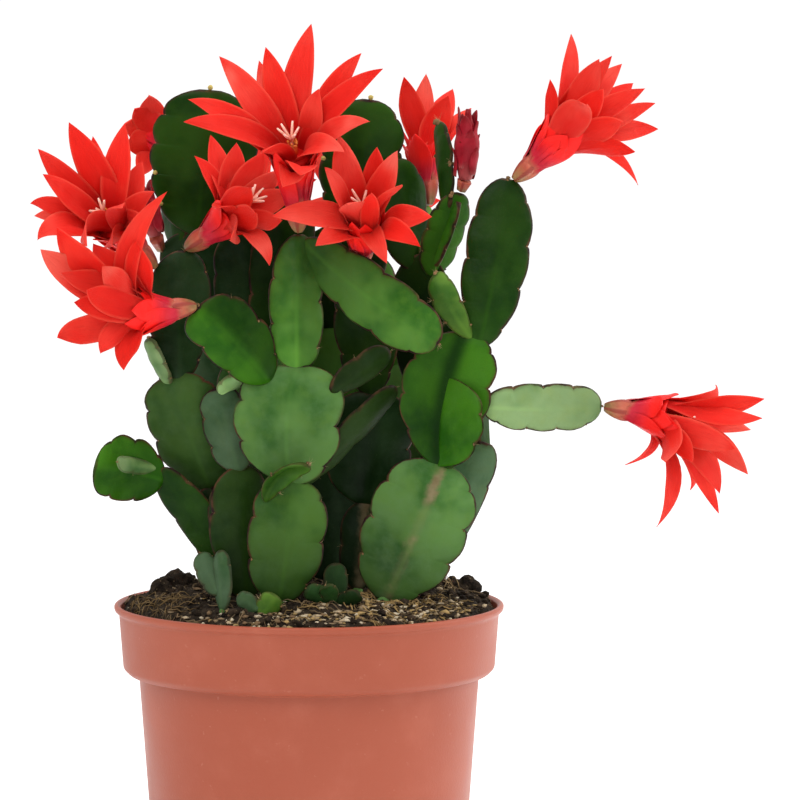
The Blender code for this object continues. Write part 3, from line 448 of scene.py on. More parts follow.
def circle(r, z, angles):
    """Points round the Z axis."""
    return np.stack([r * np.cos(angles), r * np.sin(angles), np.broadcast_to(z, angles.shape)], axis=-1)


def curve(bends, t):
    """Points of the cubic curve with these four control points."""
    a, b, c, d = bends
    s = 1 - t
    return a * s**3 + b * 3 * s * s * t + c * 3 * s * t * t + d * t**3


def smooth(x, low, high):
    s = np.clip((x - low) / (high - low), 0, 1)
    return s * s * (3 - 2 * s)


def ends_closer(start, count):
    """Places from 0 to 1, closer together at both ends."""
    return 0.5 - 0.5 * np.cos(np.linspace(start, math.pi - start, count))


def margins_closer(count):
    """Places from -1 to 1, closer together at both ends."""
    return np.sin(np.linspace(-math.pi / 2, math.pi / 2, count))


def both_faces(across):
    """Places round a blade, over one face and back on the other, and the face of each: 1, -1, or 0 on a margin."""
    face = np.concatenate([np.ones(len(across)), -np.ones(len(across) - 2)])
    face[0] = face[len(across) - 1] = 0
    return np.concatenate([across, across[-2:0:-1]]), face


def scatter(rng, reach):
    return np.array([rng.uniform(-reach, reach) for _ in range(3)])


# Gathering a piece's mesh


def add_object(name, data):
    obj = bpy.data.objects.new(name, data)
    bpy.context.scene.collection.objects.link(obj)
    return obj


class Pile:
    """Points, faces and named values at the points, gathered for one piece."""

    def __init__(self):
        self.points = []
        self.quads = []
        self.triangles = []
        self.values = []
        self.count = 0

    def add(self, points, quads, triangles, **values):
        for kept, faces in ((self.quads, quads), (self.triangles, triangles)):
            if len(faces):
                kept.append(faces + self.count)
        self.points.append(points)
        self.count += len(points)
        full = {}
        for name, value in values.items():
            width = 3 if name.endswith("colour") else 1
            full[name] = np.broadcast_to(np.asarray(value, float).reshape(-1, width), (len(points), width))
        self.values.append(full)

    def mesh(self, name):
        points = np.concatenate(self.points) * MM
        quads = np.concatenate(self.quads or [np.zeros((0, 4), int)])
        triangles = np.concatenate(self.triangles)
        mesh = bpy.data.meshes.new(name)
        mesh.vertices.add(len(points))
        mesh.vertices.foreach_set("co", points.astype(np.float32).ravel())
        corners = np.concatenate([quads.ravel(), triangles.ravel()])
        starts = np.concatenate([np.arange(len(quads)) * 4, len(quads) * 4 + np.arange(len(triangles)) * 3])
        mesh.loops.add(len(corners))
        mesh.loops.foreach_set("vertex_index", corners.astype(np.int32))
        mesh.polygons.add(len(starts))
        mesh.polygons.foreach_set("loop_start", starts.astype(np.int32))
        mesh.update(calc_edges=True)
        mesh.validate()
        mesh.polygons.foreach_set("use_smooth", [True] * len(mesh.polygons))
        for key in self.values[0]:
            stack = np.concatenate([value[key] for value in self.values])
            kind, slot = "FLOAT", "value"
            if key.endswith("colour"):
                stack = np.concatenate([stack, np.ones((len(stack), 1))], axis=1)
                kind, slot = "FLOAT_COLOR", "color"
            mesh.attributes.new(key, kind, "POINT").data.foreach_set(slot, stack.astype(np.float32).ravel())
        return mesh

    def piece(self, name, material, slot, replaces=()):
        mesh = self.mesh(name)
        mesh.materials.append(MATERIALS[material])
        obj = add_object(name, mesh)
        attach(obj, "root")
        if replaces:
            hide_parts(*replaces)
        return obj


def rings(count, sides):
    """Quads that join rings of points, each ring closed on itself."""
    row = np.arange(sides)
    after = (row + 1) % sides
    quads = np.stack([row, after, after + sides, row + sides], axis=1)
    return np.concatenate([quads + sides * k for k in range(count - 1)])


def fan(sides, first, centre):
    """Triangles from a ring of points to the one in its middle."""
    row = np.arange(sides)
    return np.stack([first + row, first + (row + 1) % sides, np.full(sides, centre)], axis=1)


def add_body(pile, loops, ends=None, **values):
    """A closed body from closed loops of points. A value is for all of it, for each loop or for each point."""
    count, sides = loops.shape[:2]
    last = count * sides
    if ends is None:
        ends = loops[0].mean(axis=0), loops[-1].mean(axis=0)
    full = {}
    for name, value in values.items():
        value = np.asarray(value, float)
        if value.ndim == 1 + name.endswith("colour") and len(value) == count:
            value = np.repeat(value, sides, axis=0)
        if value.shape[:2] == (count, sides):
            value = value.reshape(last, -1)
        if value.shape[:1] == (last,):
            value = np.concatenate([value, value[:1], value[-1:]])
        full[name] = value
    caps = np.concatenate([fan(sides, 0, last)[:, ::-1], fan(sides, last - sides, last + 1)])
    pile.add(np.concatenate([loops.reshape(-1, 3), ends]), rings(count, sides), caps, **full)


def add_tube(pile, path, radii, sides, ribs=0, rib_depth=0, **values):
    """A round body along a path, with ribs if asked."""
    path = np.asarray(path, float)
    tangent = unit(np.gradient(path, axis=0))
    e1, _ = square_to(tangent[0])
    angles = turns(sides)
    wave = 1 - rib_depth * (0.5 - 0.5 * np.cos(ribs * angles))
    loops = []
    for centre, ahead, radius in zip(path, tangent, radii):
        e1 = unit(off_axis(e1, ahead))
        r = radius * wave
        loops.append(centre + np.outer(np.cos(angles) * r, e1) + np.outer(np.sin(angles) * r, np.cross(ahead, e1)))
    if ribs:
        values["rib"] = [*np.tile(0.5 + 0.5 * np.cos(ribs * angles), len(path)), 0.5, 0.5]
    add_body(pile, np.array(loops), path[[0, -1]], **values)


def add_ball(pile, centre, radius, rng, rough, stretch=(1, 1, 1), fine=1, **values):
    """A lump, by a shared ball whose points are pushed in and out."""
    points, triangles = BALLS[fine]
    push = 1 + np.array([rng.uniform(-rough, rough) for _ in range(len(points))])
    pile.add(points * push[:, None] * radius * np.array(stretch) + centre, (), triangles, **values)


def make_balls():
    """Points and triangles of three balls, from coarse to fine."""
    made = {}
    for fine in (1, 2, 3):
        mesh = bmesh.new()
        bmesh.ops.create_icosphere(mesh, subdivisions=fine, radius=1)
        points = np.array([v.co for v in mesh.verts])
        made[fine] = points, np.array([[v.index for v in f.verts] for f in mesh.faces])
        mesh.free()
    return made


# Segments of the leafy stems


def fullness(t, low=2, high=2.4):
    """Half-width along a segment, as a share of the greatest. A higher power is blunter."""
    before = np.maximum((WIDEST - t) / WIDEST, 0) ** low
    after = np.maximum((t - WIDEST) / (1 - WIDEST), 0) ** high
    return np.where(t < WIDEST, (1 - before) ** 0.55, (1 - after) ** 0.5)


def scallop(x):
    return 1 - SCALLOP * (1 - np.abs(np.sin(math.pi * x)) ** 0.7)


def notch_depth(x):
    """1 in each notch, 0 between them."""
    return 1 - np.abs(np.sin(math.pi * x)) ** 0.5


class Segment:
    def __init__(self, key, base, tip, width, turn, notches, bow, arch):
        self.key = key
        self.base = base
        self.along = tip - base
        axis = unit(self.along)
        facing = unit(off_axis(np.array([0.0, -1.0, 0.0]), axis))
        side = np.cross(axis, facing)
        turn = math.radians(turn)
        self.side = side * math.cos(turn) - facing * math.sin(turn)
        self.facing = facing * math.cos(turn) + side * math.sin(turn)
        self.width = width
        self.notches = notches
        self.bow = bow
        self.arch = arch
        self.rng = random.Random("segment " + key)

    def spine(self, t):
        t = np.asarray(t, float)[..., None]
        bend = 4 * t * (1 - t)
        return self.base + self.along * t + self.side * self.bow * bend + self.facing * self.arch * bend

    def waves(self, side, t):
        """How many notches lie before t. Those of the right margin are half a step on."""
        return self.notches * t + np.where(side > 0, 0.5, 0)

    def point(self, u, t):
        """A point of the solid's blade."""
        reach = self.width / 2 * fullness(t) * scallop(self.waves(u, t)) * u
        return self.spine(t) + self.side * reach[..., None]

    def rows(self):
        """Places along the blade: even ones, finer at both ends, and more of them round each notch."""
        notches = np.arange(1, 2 * self.notches) / (2 * self.notches)
        near = np.array([-0.14, -0.05, -0.012, 0.012, 0.05, 0.14]) / self.notches
        places = np.sort(np.concatenate([ends_closer(0.03, 24), (notches[:, None] + near).ravel()]))
        places = places[(places > 0.002) & (places < 0.998)]
        return places[np.concatenate([[True], np.diff(places) > 0.0015])]

    def rim(self, side, t):
        """Distance from the spine to the margin as it is shown, fuller and with sharper notches than in the solid."""
        full = fullness(t, *ENDS.get(self.key, USUAL_ENDS))
        step = np.mod(self.waves(side, t), 1)
        lobe = 1 - 0.1 * (1 - np.abs(np.sin(math.pi * step)) ** 0.55) - 0.045 * (1 - step)
        slim = 1 - SLIM_FEET.get(self.key, 0) * smooth(1 - t, 0.35, 0.8)
        return self.width / 2 * full * lobe * slim

    def shown(self, u, t):
        """A point of the blade as it is shown, folded along its midrib."""
        reach = self.rim(u, t) * np.abs(u)
        left, right = FOLDS.get(self.key, (-0.1, -0.12))
        fold = np.where(u > 0, right, left)
        lean = reach * fold * np.sin(math.pi * np.clip(t, 0, 1)) ** 0.5
        sideways = self.side * (np.sign(u) * reach * np.sqrt(1 - 0.5 * np.minimum(fold * fold, 1)))[..., None]
        return self.spine(t) + sideways + self.facing * lean[..., None]

    def build(self, pile):
        rng = self.rng
        u, face = both_faces(margins_closer(13 if self.width > 12 else 9))
        tt, uu = np.meshgrid(self.rows(), u, indexing="ij")
        reach = self.rim(uu, tt)
        small = min(self.width / 20, 1)
        height = rng.uniform(0.25, 0.5) * small
        ripple = height * np.sin(2 * math.pi * self.notches * tt + rng.uniform(0, 6) + 1.5 * np.sign(uu))
        cup = rng.uniform(-0.02, 0.03) * self.width
        lift = (ripple * uu**2 + cup * (uu**2 - 0.3)) * np.sin(math.pi * tt) ** 0.5
        middle = self.shown(uu, tt) + self.facing * lift[..., None]
        half = min(SEGMENT_THICK, self.width * 0.24) / 2 * (1 - np.abs(uu) ** 2.4) ** 0.6
        half = half * np.minimum(np.minimum(tt, 1 - tt) / 0.07, 1) ** 0.5
        half = half + 0.5 * small * np.exp(-((uu * reach / 1.3) ** 2)) * smooth(tt, 0, 0.1) * smooth(1 - tt, 0.03, 0.4)
        half = half * (1 + 0.1 * np.sin(9 * tt + rng.uniform(0, 6)) * np.sin(3 * uu + rng.uniform(0, 6)))
        tone, wax = SKIN[TONE_OF.get(self.key, "plain")]
        # Painted light and shade: the halves and ends of the blade drawn lighter or darker
        left, right, low, high = PAINTED_LIGHT_AND_SHADE.get(self.key, USUAL_PAINTED_LIGHT_AND_SHADE)
        shade = left + (right - left) * smooth(uu, -0.35, 0.35)
        shade = shade * (low + (high - low) * smooth(tt, 0.05, 0.95))
        add_body(
            pile,
            middle + self.facing * (half * face)[..., None],
            margin=np.minimum((1 - np.abs(uu)) * reach, (1 - tt) * np.linalg.norm(self.along) * 0.7),
            midrib=np.abs(uu) * reach,
            notch=notch_depth(self.waves(uu, tt)),
            along=tt,
            cork=CORKY.get(self.key, 0),
            wax=wax,
            size=min(self.width / 16, 1),
            groove=PAINTED_GROOVE_SHADE.get(self.key, 0),
            tone_colour=np.array(tone) * rng.uniform(0.94, 1.06) * shade[..., None],
        )

    def areoles(self):
        """Places of the notches along both margins, with the direction outwards and a size, and the one on the tip."""
        found = []
        for side in (1, -1):
            for k in range(self.notches + 1):
                t = (k + (0 if side < 0 else 0.5)) / self.notches
                if not 0.1 < t < 0.96:
                    continue
                place, ahead, behind = (self.shown(side * 0.97, at) for at in (t, min(t + 0.04, 1), t - 0.04))
                out = unit(off_axis(self.side * side, unit(ahead - behind)) + unit(self.along) * 0.3)
                found.append((place, out, 1))
        found.append((self.spine(0.995), unit(self.along), 1.6))
        return found


class Wing:
    """A third blade on the spine of a segment."""

    def __init__(self, key, parent, reach, turn, start, end):
        self.reach, turn, self.start, self.end = WIDER_WINGS.get(key, (reach, turn, start, end))
        self.parent = parent
        self.width = self.reach * 2
        self.out = polar(1, math.radians(turn), parent.side, parent.facing)
        self.normal = np.cross(self.out, unit(parent.along))

    def point(self, u, t):
        edge = self.reach * fullness(t) * scallop(3 * t)
        spine = self.parent.spine(self.start + (self.end - self.start) * t)
        return spine + self.out * (edge * (u + 1) / 2)[..., None]

    def build(self, pile):
        u, face = both_faces(np.linspace(-1, 1, 9))
        face[0] = 1
        tt, uu = np.meshgrid(ends_closer(0.03, 34), u, indexing="ij")
        half = SEGMENT_THICK / 2 * (1 - ((uu + 1) / 2) ** 2.2) ** 0.7
        reach = self.reach * fullness(tt)
        add_body(
            pile,
            self.point(uu, tt) + self.normal * (half * face)[..., None],
            margin=(1 - uu) / 2 * reach,
            midrib=(1 + uu) / 2 * reach + 2,
            notch=notch_depth(3 * tt),
            along=tt,
            cork=0,
            wax=0.1,
            size=1,
            groove=0,
            tone_colour=np.array(SKIN[TONE_OF.get(self.parent.key, "plain")][0]) * 1.15,
        )

    def areoles(self):
        return [(self.point(0.97, t), self.out, 1) for t in (1 / 3, 2 / 3)]


def stem_segments(name):
    (x, depth), rows = STEMS[name]
    found = {}
    for key, parent, across, along, tip, width, turn, notches, bow, arch in rows:
        base = found[parent].point(across, along) if parent else np.array([x, depth, heap(x, depth) + 0.6])
        found[key] = Segment(key, base, seen(tip), width, turn, notches, bow, arch)
    for key, parent, reach, turn, start, end in WINGS.get(name, []):
        found[key] = Wing(key, found[parent], reach, turn, start, end)
    return found


def add_foot(pile, x, depth, sprout):
    """The round foot of a stem, in the soil."""
    foot = 1.2 if sprout else 2.2
    path = [[x, depth, heap(x, depth) + rise] for rise in (-12, -4, 0.5, 3)]
    values = {"margin": 9, "midrib": 9, "notch": 0, "along": 0, "cork": 0 if sprout else 1}
    values.update({"wax": 0.3, "size": 1, "groove": 0, "tone_colour": SKIN["grey"][0]})
    add_tube(pile, path, [foot, foot, foot, foot * 0.6], 14, **values)


def add_bristle(pile, start, way, length, colour):
    radii = [BRISTLE_RADIUS, BRISTLE_RADIUS * 0.7, BRISTLE_RADIUS * 0.15]
    add_tube(pile, [start, start + way * length * 0.5, start + way * length], radii, 4, tint_colour=colour)


def add_areole(pile, rng, key, young, place, out, size):
    """A tuft of wool with a few bristles. size is over 1 on the tip of a segment."""
    size = size * rng.uniform(0.7, 1.1) * young
    woolly = key in WOOLLY and size > 0.8 * young
    size = size * 2.6 if woolly else size
    colour = np.array(AREOLE_WOOL) * rng.uniform(0.6, 1.3)
    for _ in range(3):
        add_ball(pile, place + scatter(rng, 0.3) * size, 0.3 * size, rng, 0.3, tint_colour=colour)
    if key in KNOBBED and size > 1:
        add_ball(pile, place + out * 0.7, 0.8, rng, 0.08, fine=2, tint_colour=KNOB_GOLD)
    for _ in range(rng.randrange(0, 3) if size < 1.2 else rng.randrange(3, 7) + 6 * woolly):
        lean = np.array([rng.gauss(0, 0.5) for _ in range(3)])
        straw = np.array(BRISTLE_STRAW) * rng.uniform(0.5, 1.3)
        add_bristle(pile, place, unit(out + lean), rng.uniform(0.7, 1.9) * size**0.5, straw)


def build_stem(name):
    flesh, wool = Pile(), Pile()
    rng = random.Random("areoles " + name)
    (x, depth), rows = STEMS[name]
    add_foot(flesh, x, depth, name.startswith("sprout"))
    parents = {row[1] for row in rows}
    for key, segment in stem_segments(name).items():
        segment.build(flesh)
        for place, out, size in segment.areoles():
            if size == 1 or key not in parents:
                add_areole(wool, rng, key, 0.55 if segment.width < 10 else 1, place, out, size)
    flesh.piece(name + "_flesh", "skin", "green_flesh", [name])
    wool.piece(name + "_areoles", "wool", "stamens")


# Blooms


def petal_width(t):
    """Lance-shaped: narrower at the foot, full in the middle, then drawn in to a point."""
    low = 0.42 + 0.58 * np.sin(np.minimum(t / 0.52, 1) * math.pi / 2) ** 1.2
    x = np.maximum(t - 0.52, 0) / 0.48
    return np.where(t < 0.52, low, (1 - x**2.5) * (1 - 0.14 * x))


class Petal:
    def __init__(self, throat, mouth, tip, width, curl, layer, most=PETAL_TURN):
        out = unit(off_axis(tip - throat, mouth))
        start = throat + out * (2 + 1.8 * layer) - mouth * layer
        self.length = np.linalg.norm(tip - start)
        self.bends = [
            start,
            start + (mouth + out * (0.15 + 0.3 * layer)) * self.length * 0.25,
            start * 0.4 + tip * 0.6 + (mouth - out * 0.3) * self.length * curl,
            tip,
        ]
        self.across = np.cross(mouth, out)
        shown = np.cross(tip - start, [0, -1, 0])
        if shown @ self.across < 0:
            shown = -shown
        self.beside = unit(off_axis(shown, self.across))
        angle = math.acos(np.clip(self.across @ unit(shown), -1, 1))
        self.turn = min(angle * (0.5 + most / 180), math.radians(most))
        self.width = width * PETAL_WIDTH

    def spine(self, t):
        return curve(self.bends, t[..., None])

    def side(self, t):
        """Direction across the petal, which turns towards the viewer along its length."""
        turn = self.turn * np.minimum(t / 0.7, 1)[..., None]
        return self.across * np.cos(turn) + self.beside * np.sin(turn)

    def build(self, pile, rng, columns=11, rows=26, thick=0.4):
        u, face = both_faces(margins_closer(columns))
        tt, uu = np.meshgrid(ends_closer(0.02, rows), u, indexing="ij")
        step = 1e-3
        forward = unit(self.spine(np.minimum(tt + step, 1)) - self.spine(np.maximum(tt - step, 0)))
        side = self.side(tt)
        side = unit(side - forward * np.sum(side * forward, axis=-1, keepdims=True))
        inward = np.cross(forward, side)
        half = self.width / 2 * petal_width(tt)
        depth = rng.uniform(0.3, 0.55) * (1.1 - 1.25 * tt)
        wave = np.sin(rng.uniform(5, 9) * tt + rng.uniform(0, 6) + 2.2 * np.sign(uu)) * np.abs(uu) ** 3 * tt
        crease = -0.28 * np.exp(-((uu * half / 0.7) ** 2)) * smooth(tt, 0, 0.1) * smooth(1 - tt, 0, 0.5)
        swing = self.length * rng.uniform(-0.035, 0.035) * np.sin(math.pi * tt)
        nod = self.length * rng.uniform(0.02, 0.075) * np.sin(math.pi * tt**1.5)
        lift = half * depth * (0.3 * np.abs(uu) + 0.7 * uu**2) + 0.05 * self.width * wave + crease + nod
        body = self.spine(tt) + side * (uu * half + swing)[..., None] + inward * lift[..., None]
        thickness = thick / 2 * (1 - np.abs(uu) ** 3) ** 0.5 * np.minimum(np.minimum(tt, 1 - tt) / 0.05, 1) ** 0.5
        add_body(
            pile,
            body + inward * (thickness * face)[..., None],
            along=tt,
            across=(uu + 2.5 * rng.random()) * self.width / 10,
            rim=np.abs(uu),
            # How much painted highlight the petal gets
            pink=rng.random() ** 2,
            tint_colour=np.ones(3) * rng.uniform(0.94, 1.04),
        )


def perch(on, towards):
    """Where a flower's foot starts, just off the edge of the segment that carries it."""
    stem, key, across, along = on
    edge = stem_segments(stem)[key].point(across, along)
    return edge + unit(towards - edge) * GAP * 2.4


def petal_tips(name, throat, mouth, tips):
    """Place, width and curl of each petal, in order round the mouth."""
    e1, e2 = square_to(mouth)
    if tips is not None:
        tips = [(seen(tip), width, curl) for tip, width, curl in tips]
    else:
        tips = []
        for count, forward, outward, width, first in HIDDEN_WHORLS:
            for k in range(count):
                reach = polar(outward, math.radians(first + 360 * k / count), e1, e2)
                tips.append((throat + mouth * forward + reach, width, 0.12))
    return sorted(tips, key=lambda entry: math.atan2((entry[0] - throat) @ e2, (entry[0] - throat) @ e1))


def bloom_petals(name, throat, mouth, tips):
    rng = random.Random(name + " 0")
    most = PETAL_TURNS.get(name, PETAL_TURN)
    petals = []
    for k, (tip, width, curl) in enumerate(petal_tips(name, throat, mouth, tips)):
        tip = tip + scatter(rng, 0.3)
        petals.append(Petal(throat, mouth, tip, width + rng.uniform(-0.2, 0.2), curl, k % 2, most))
    for tip, width, curl in MORE_PETALS.get(name, []):
        petals.append(Petal(throat, mouth, seen(tip), width, curl, 1, most))
    return petals


def tube_line(foot, throat, mouth, count=12):
    """Path of the tube from just off the ovary to the mouth of the funnel, as one smooth curve."""
    axis = unit(throat - foot)
    start = foot + axis * (OVARY_LENGTH + GAP)
    end = throat + mouth * FUNNEL * 0.7
    reach = np.linalg.norm(end - start)
    bends = [start, start + axis * reach * 0.4, end - mouth * reach * 0.35, end]
    return curve(bends, np.linspace(0, 1, count)[:, None])


def build_sepals(pile, path, radii, mouth, rng, count=11):
    """Slender outer petals that start at the ovary and lie along the tube."""
    axis = unit(path[3] - path[0])
    e1, e2 = square_to(axis)
    for k in range(count):
        out = polar(1, GOLDEN_TURN * k + rng.uniform(-0.2, 0.2), e1, e2)
        far = unit(off_axis(out, mouth))
        first = k % 4
        tip = path[-1] + mouth * (1.2 * (k % 5) + rng.uniform(-2, 3)) + far * (THROAT_RADIUS + rng.uniform(2.4, 5))
        sepal = Petal(path[first], axis, tip, rng.uniform(7, 8.6), 0.1, 0)
        sepal.bends = [
            path[first] - axis * 3 + out * (radii[first] - 0.3),
            path[first + 3] + out * (radii[first + 3] + 1.4),
            path[9] + far * (radii[9] + 2.2),
            tip,
        ]
        sepal.length = np.linalg.norm(tip - sepal.bends[0])
        sepal.across = unit(np.cross(mouth, far))
        sepal.turn = 0
        sepal.build(pile, rng, columns=9, rows=18)


def build_bloom(name):
    on, throat, mouth, tips = BLOOMS[name]
    throat = seen(throat)
    foot = perch(on, throat)
    mouth = unit(np.array([mouth[0], mouth[2], mouth[1]], float))
    rng = random.Random("bloom " + name)
    red = Pile()
    for petal in bloom_petals(name, throat, mouth, tips):
        petal.build(red, rng)
    red.piece(name + "_petals", "petal", "red_petals", [name])

    tube = Pile()
    path = tube_line(foot, throat, mouth)
    s = np.linspace(0, 1, len(path))
    radii = OVARY_RADIUS * 0.84 + (THROAT_RADIUS + 1.2 - OVARY_RADIUS * 0.84) * s**1.5
    add_tube(tube, path, radii, 20, along=s * 0.6, tint_colour=(1, 1, 1))
    build_sepals(tube, path, radii, mouth, rng)
    tube.piece(name + "_tube", "tube", "red_petals")

    steps = np.linspace(0, 1, 12)
    radii = OVARY_RADIUS * (0.34 + 0.66 * np.sin(np.minimum(steps * 1.25, 1) * math.pi / 2) ** 0.8)
    radii = radii * (1 - 0.12 * smooth(steps, 0.6, 1))
    build_ovary(name, foot, unit(throat - foot), OVARY_LENGTH + 1.2, radii, 40, 0.17)
    build_stamens(name, throat, mouth, rng)


def build_ovary(name, foot, axis, length, radii, sides, rib_depth):
    olive = Pile()
    steps = np.linspace(0, 1, len(radii))
    add_tube(olive, foot + np.outer(steps * length, axis), radii, sides, OVARY_RIBS, rib_depth, along=steps)
    olive.piece(name + "_flesh", "ovary", "olive_flesh", [name + "_ovary"])


def build_stamens(name, throat, mouth, rng):
    """A small orange cluster of stamens deep in the bloom, and the pale spread lobes of the stigma above it."""
    pile = Pile()
    e1, e2 = square_to(mouth)
    base = throat + mouth * FUNNEL * 0.4
    for k in range(STAMENS):
        out = polar(1, 2 * math.pi * k / STAMENS + rng.uniform(-0.15, 0.15), e1, e2)
        length = rng.uniform(5, 7.5)
        spread = rng.uniform(0.0, 0.12)
        start = base + out * rng.uniform(0.5, 1.3)
        middle = start + (mouth + out * spread * 0.6) * length * 0.5
        end = start + mouth * length + out * spread * length
        add_tube(pile, [start, middle, end], [0.3, 0.26, 0.2], 5, tint_colour=FILAMENT)
        add_ball(pile, end, 0.42, rng, 0.12, tint_colour=np.array(POLLEN) * rng.uniform(0.8, 1.05))
    top = base + mouth * 7.5
    add_tube(pile, [base, base + mouth * 5, top], [0.5, 0.45, 0.5], 8, tint_colour=STYLE)
    count = rng.choice((5, 6, 6))
    for k in range(count):
        out = polar(1, 2 * math.pi * k / count + 0.3 + rng.uniform(-0.25, 0.25), e1, e2)
        long = rng.uniform(0.8, 1.15)
        path = [top - mouth * 0.4]
        path += [top + (mouth * ahead + out * aside) * long for ahead, aside in ((1.6, 1), (3.4, 2.3), (4.9, 3.3))]
        add_tube(pile, path, [0.36, 0.42, 0.42, 0.28], 8, tint_colour=STIGMA)
    pile.piece(name + "_filaments", "stamen", "stamens", [name + "_stamens"])


def build_bud(name):
    on, shoulder, tip, radius = BUDS[name]
    start, end = seen(shoulder), seen(tip)
    foot = perch(on, start)
    rng = random.Random("bud " + name)
    axis = unit(end - start)
    length = np.linalg.norm(end - start)
    e1, e2 = square_to(axis)
    pile = Pile()
    s = np.linspace(0, 1, 16)
    radii = radius * (0.45 + 0.5 * np.sin(np.minimum(s * 1.5, 1) * math.pi / 2)) * (1 - 0.8 * smooth(s, 0.45, 1))
    add_tube(pile, start + np.outer(s * length * 0.93, axis), radii, 18, along=s, tint_colour=(1, 1, 1))
    for k in range(BUD_SCALES):
        rise = k / BUD_SCALES
        out = polar(1, GOLDEN_TURN * k, e1, e2)
        low = start + axis * length * 0.62 * rise + out * radius * (0.72 - 0.2 * rise)
        high = low + axis * length * (0.36 + 0.04 * rng.random()) + out * radius * rng.uniform(0.12, 0.3)
        scale = Petal(low - out * 2, unit(axis + out * 0.18), high, radius, 0.08, 0)
        scale.turn = 0
        scale.build(pile, rng, columns=7, rows=14, thick=0.5)
    pile.piece(name + "_scales", "bud", "crimson_bud", [name])
    reach = np.linalg.norm(start - foot) * 0.85
    build_ovary(name, foot, unit(start - foot), reach, np.linspace(1.5, 2.4, 8), 24, 0.15)


# Materials


class Look:
    """A material under construction, with short calls for its nodes."""

    def __init__(self, name, **constants):
        self.material = bpy.data.materials.new(name)
        self.material.use_nodes = True
        self.tree = self.material.node_tree
        self.shader = self.tree.nodes["Principled BSDF"]
        for socket, value in constants.items():
            self.shader.inputs[socket.replace("_", " ")].default_value = value

    def node(self, kind, links, **settings):
        made = self.tree.nodes.new(kind)
        for key, value in settings.items():
            setattr(made, key, value)
        for socket, source in links.items():
            self.put(made.inputs[socket], source)
        return made

    def put(self, socket, source):
        if hasattr(source, "links"):
            self.tree.links.new(source, socket)
        else:
            socket.default_value = source

    def values(self, names):
        """The named values that the mesh holds at its points."""
        made = [(name, self.node("ShaderNodeAttribute", {}, attribute_name=name)) for name in names.split()]
        return [node.outputs["Color" if name.endswith("colour") else "Fac"] for name, node in made]

    def place(self):
        return self.node("ShaderNodeTexCoord", {}).outputs["Object"]

    def noise(self, scale, detail=2, rough=0.55, stretch=None):
        place = self.place()
        if stretch:
            place = self.node("ShaderNodeMapping", {"Vector": place, "Scale": stretch}).outputs[0]
        links = {"Vector": place, "Scale": scale, "Detail": detail, "Roughness": rough}
        return self.node("ShaderNodeTexNoise", links).outputs["Fac"]

    def cells(self, scale):
        links = {"Vector": self.place(), "Scale": scale, "Randomness": 1}
        return self.node("ShaderNodeTexVoronoi", links).outputs["Distance"]

    def math(self, operation, a, b, clamp=False):
        return self.node("ShaderNodeMath", {0: a, 1: b}, operation=operation, use_clamp=clamp).outputs[0]

    def times(self, a, b):
        return self.math("MULTIPLY", a, b)

    def ramp(self, value, low, high, start=0.0, end=1.0):
        """value taken from low..high to start..end, smoothly and held outside."""
        links = {"Value": value, "From Min": low, "From Max": high, "To Min": start, "To Max": end}
        return self.node("ShaderNodeMapRange", links, interpolation_type="SMOOTHSTEP").outputs["Result"]

    def patches(self, noise, low, high, start=0.0, end=1.0):
        return self.ramp(self.noise(*noise), low, high, start, end)

    def mix(self, share, a, b, blend="MIX"):
        made = self.node("ShaderNodeMix", {}, data_type="RGBA", blend_type=blend, clamp_factor=True)
        self.put(made.inputs["Factor"], share)
        for name, source in (("A", a), ("B", b)):
            socket = next(s for s in made.inputs if s.name == name and s.type == "RGBA")
            self.put(socket, (*source, 1) if isinstance(source, tuple) else source)
        return next(s for s in made.outputs if s.type == "RGBA")

    def times_colour(self, a, b):
        return self.mix(1.0, a, b, "MULTIPLY")

    def blotches(self, noise, a, b, low=0.35, high=0.65):
        """One colour in patches on another."""
        return self.mix(self.patches(noise, low, high), a, b)

    def bump(self, height, distance, strength, under=None):
        links = {"Height": height, "Distance": distance, "Strength": strength}
        if under is not None:
            links["Normal"] = under
        return self.node("ShaderNodeBump", links).outputs["Normal"]

    def finish(self, **sockets):
        for name, source in sockets.items():
            self.put(self.shader.inputs[name.replace("_", " ")], source)
        return self.material


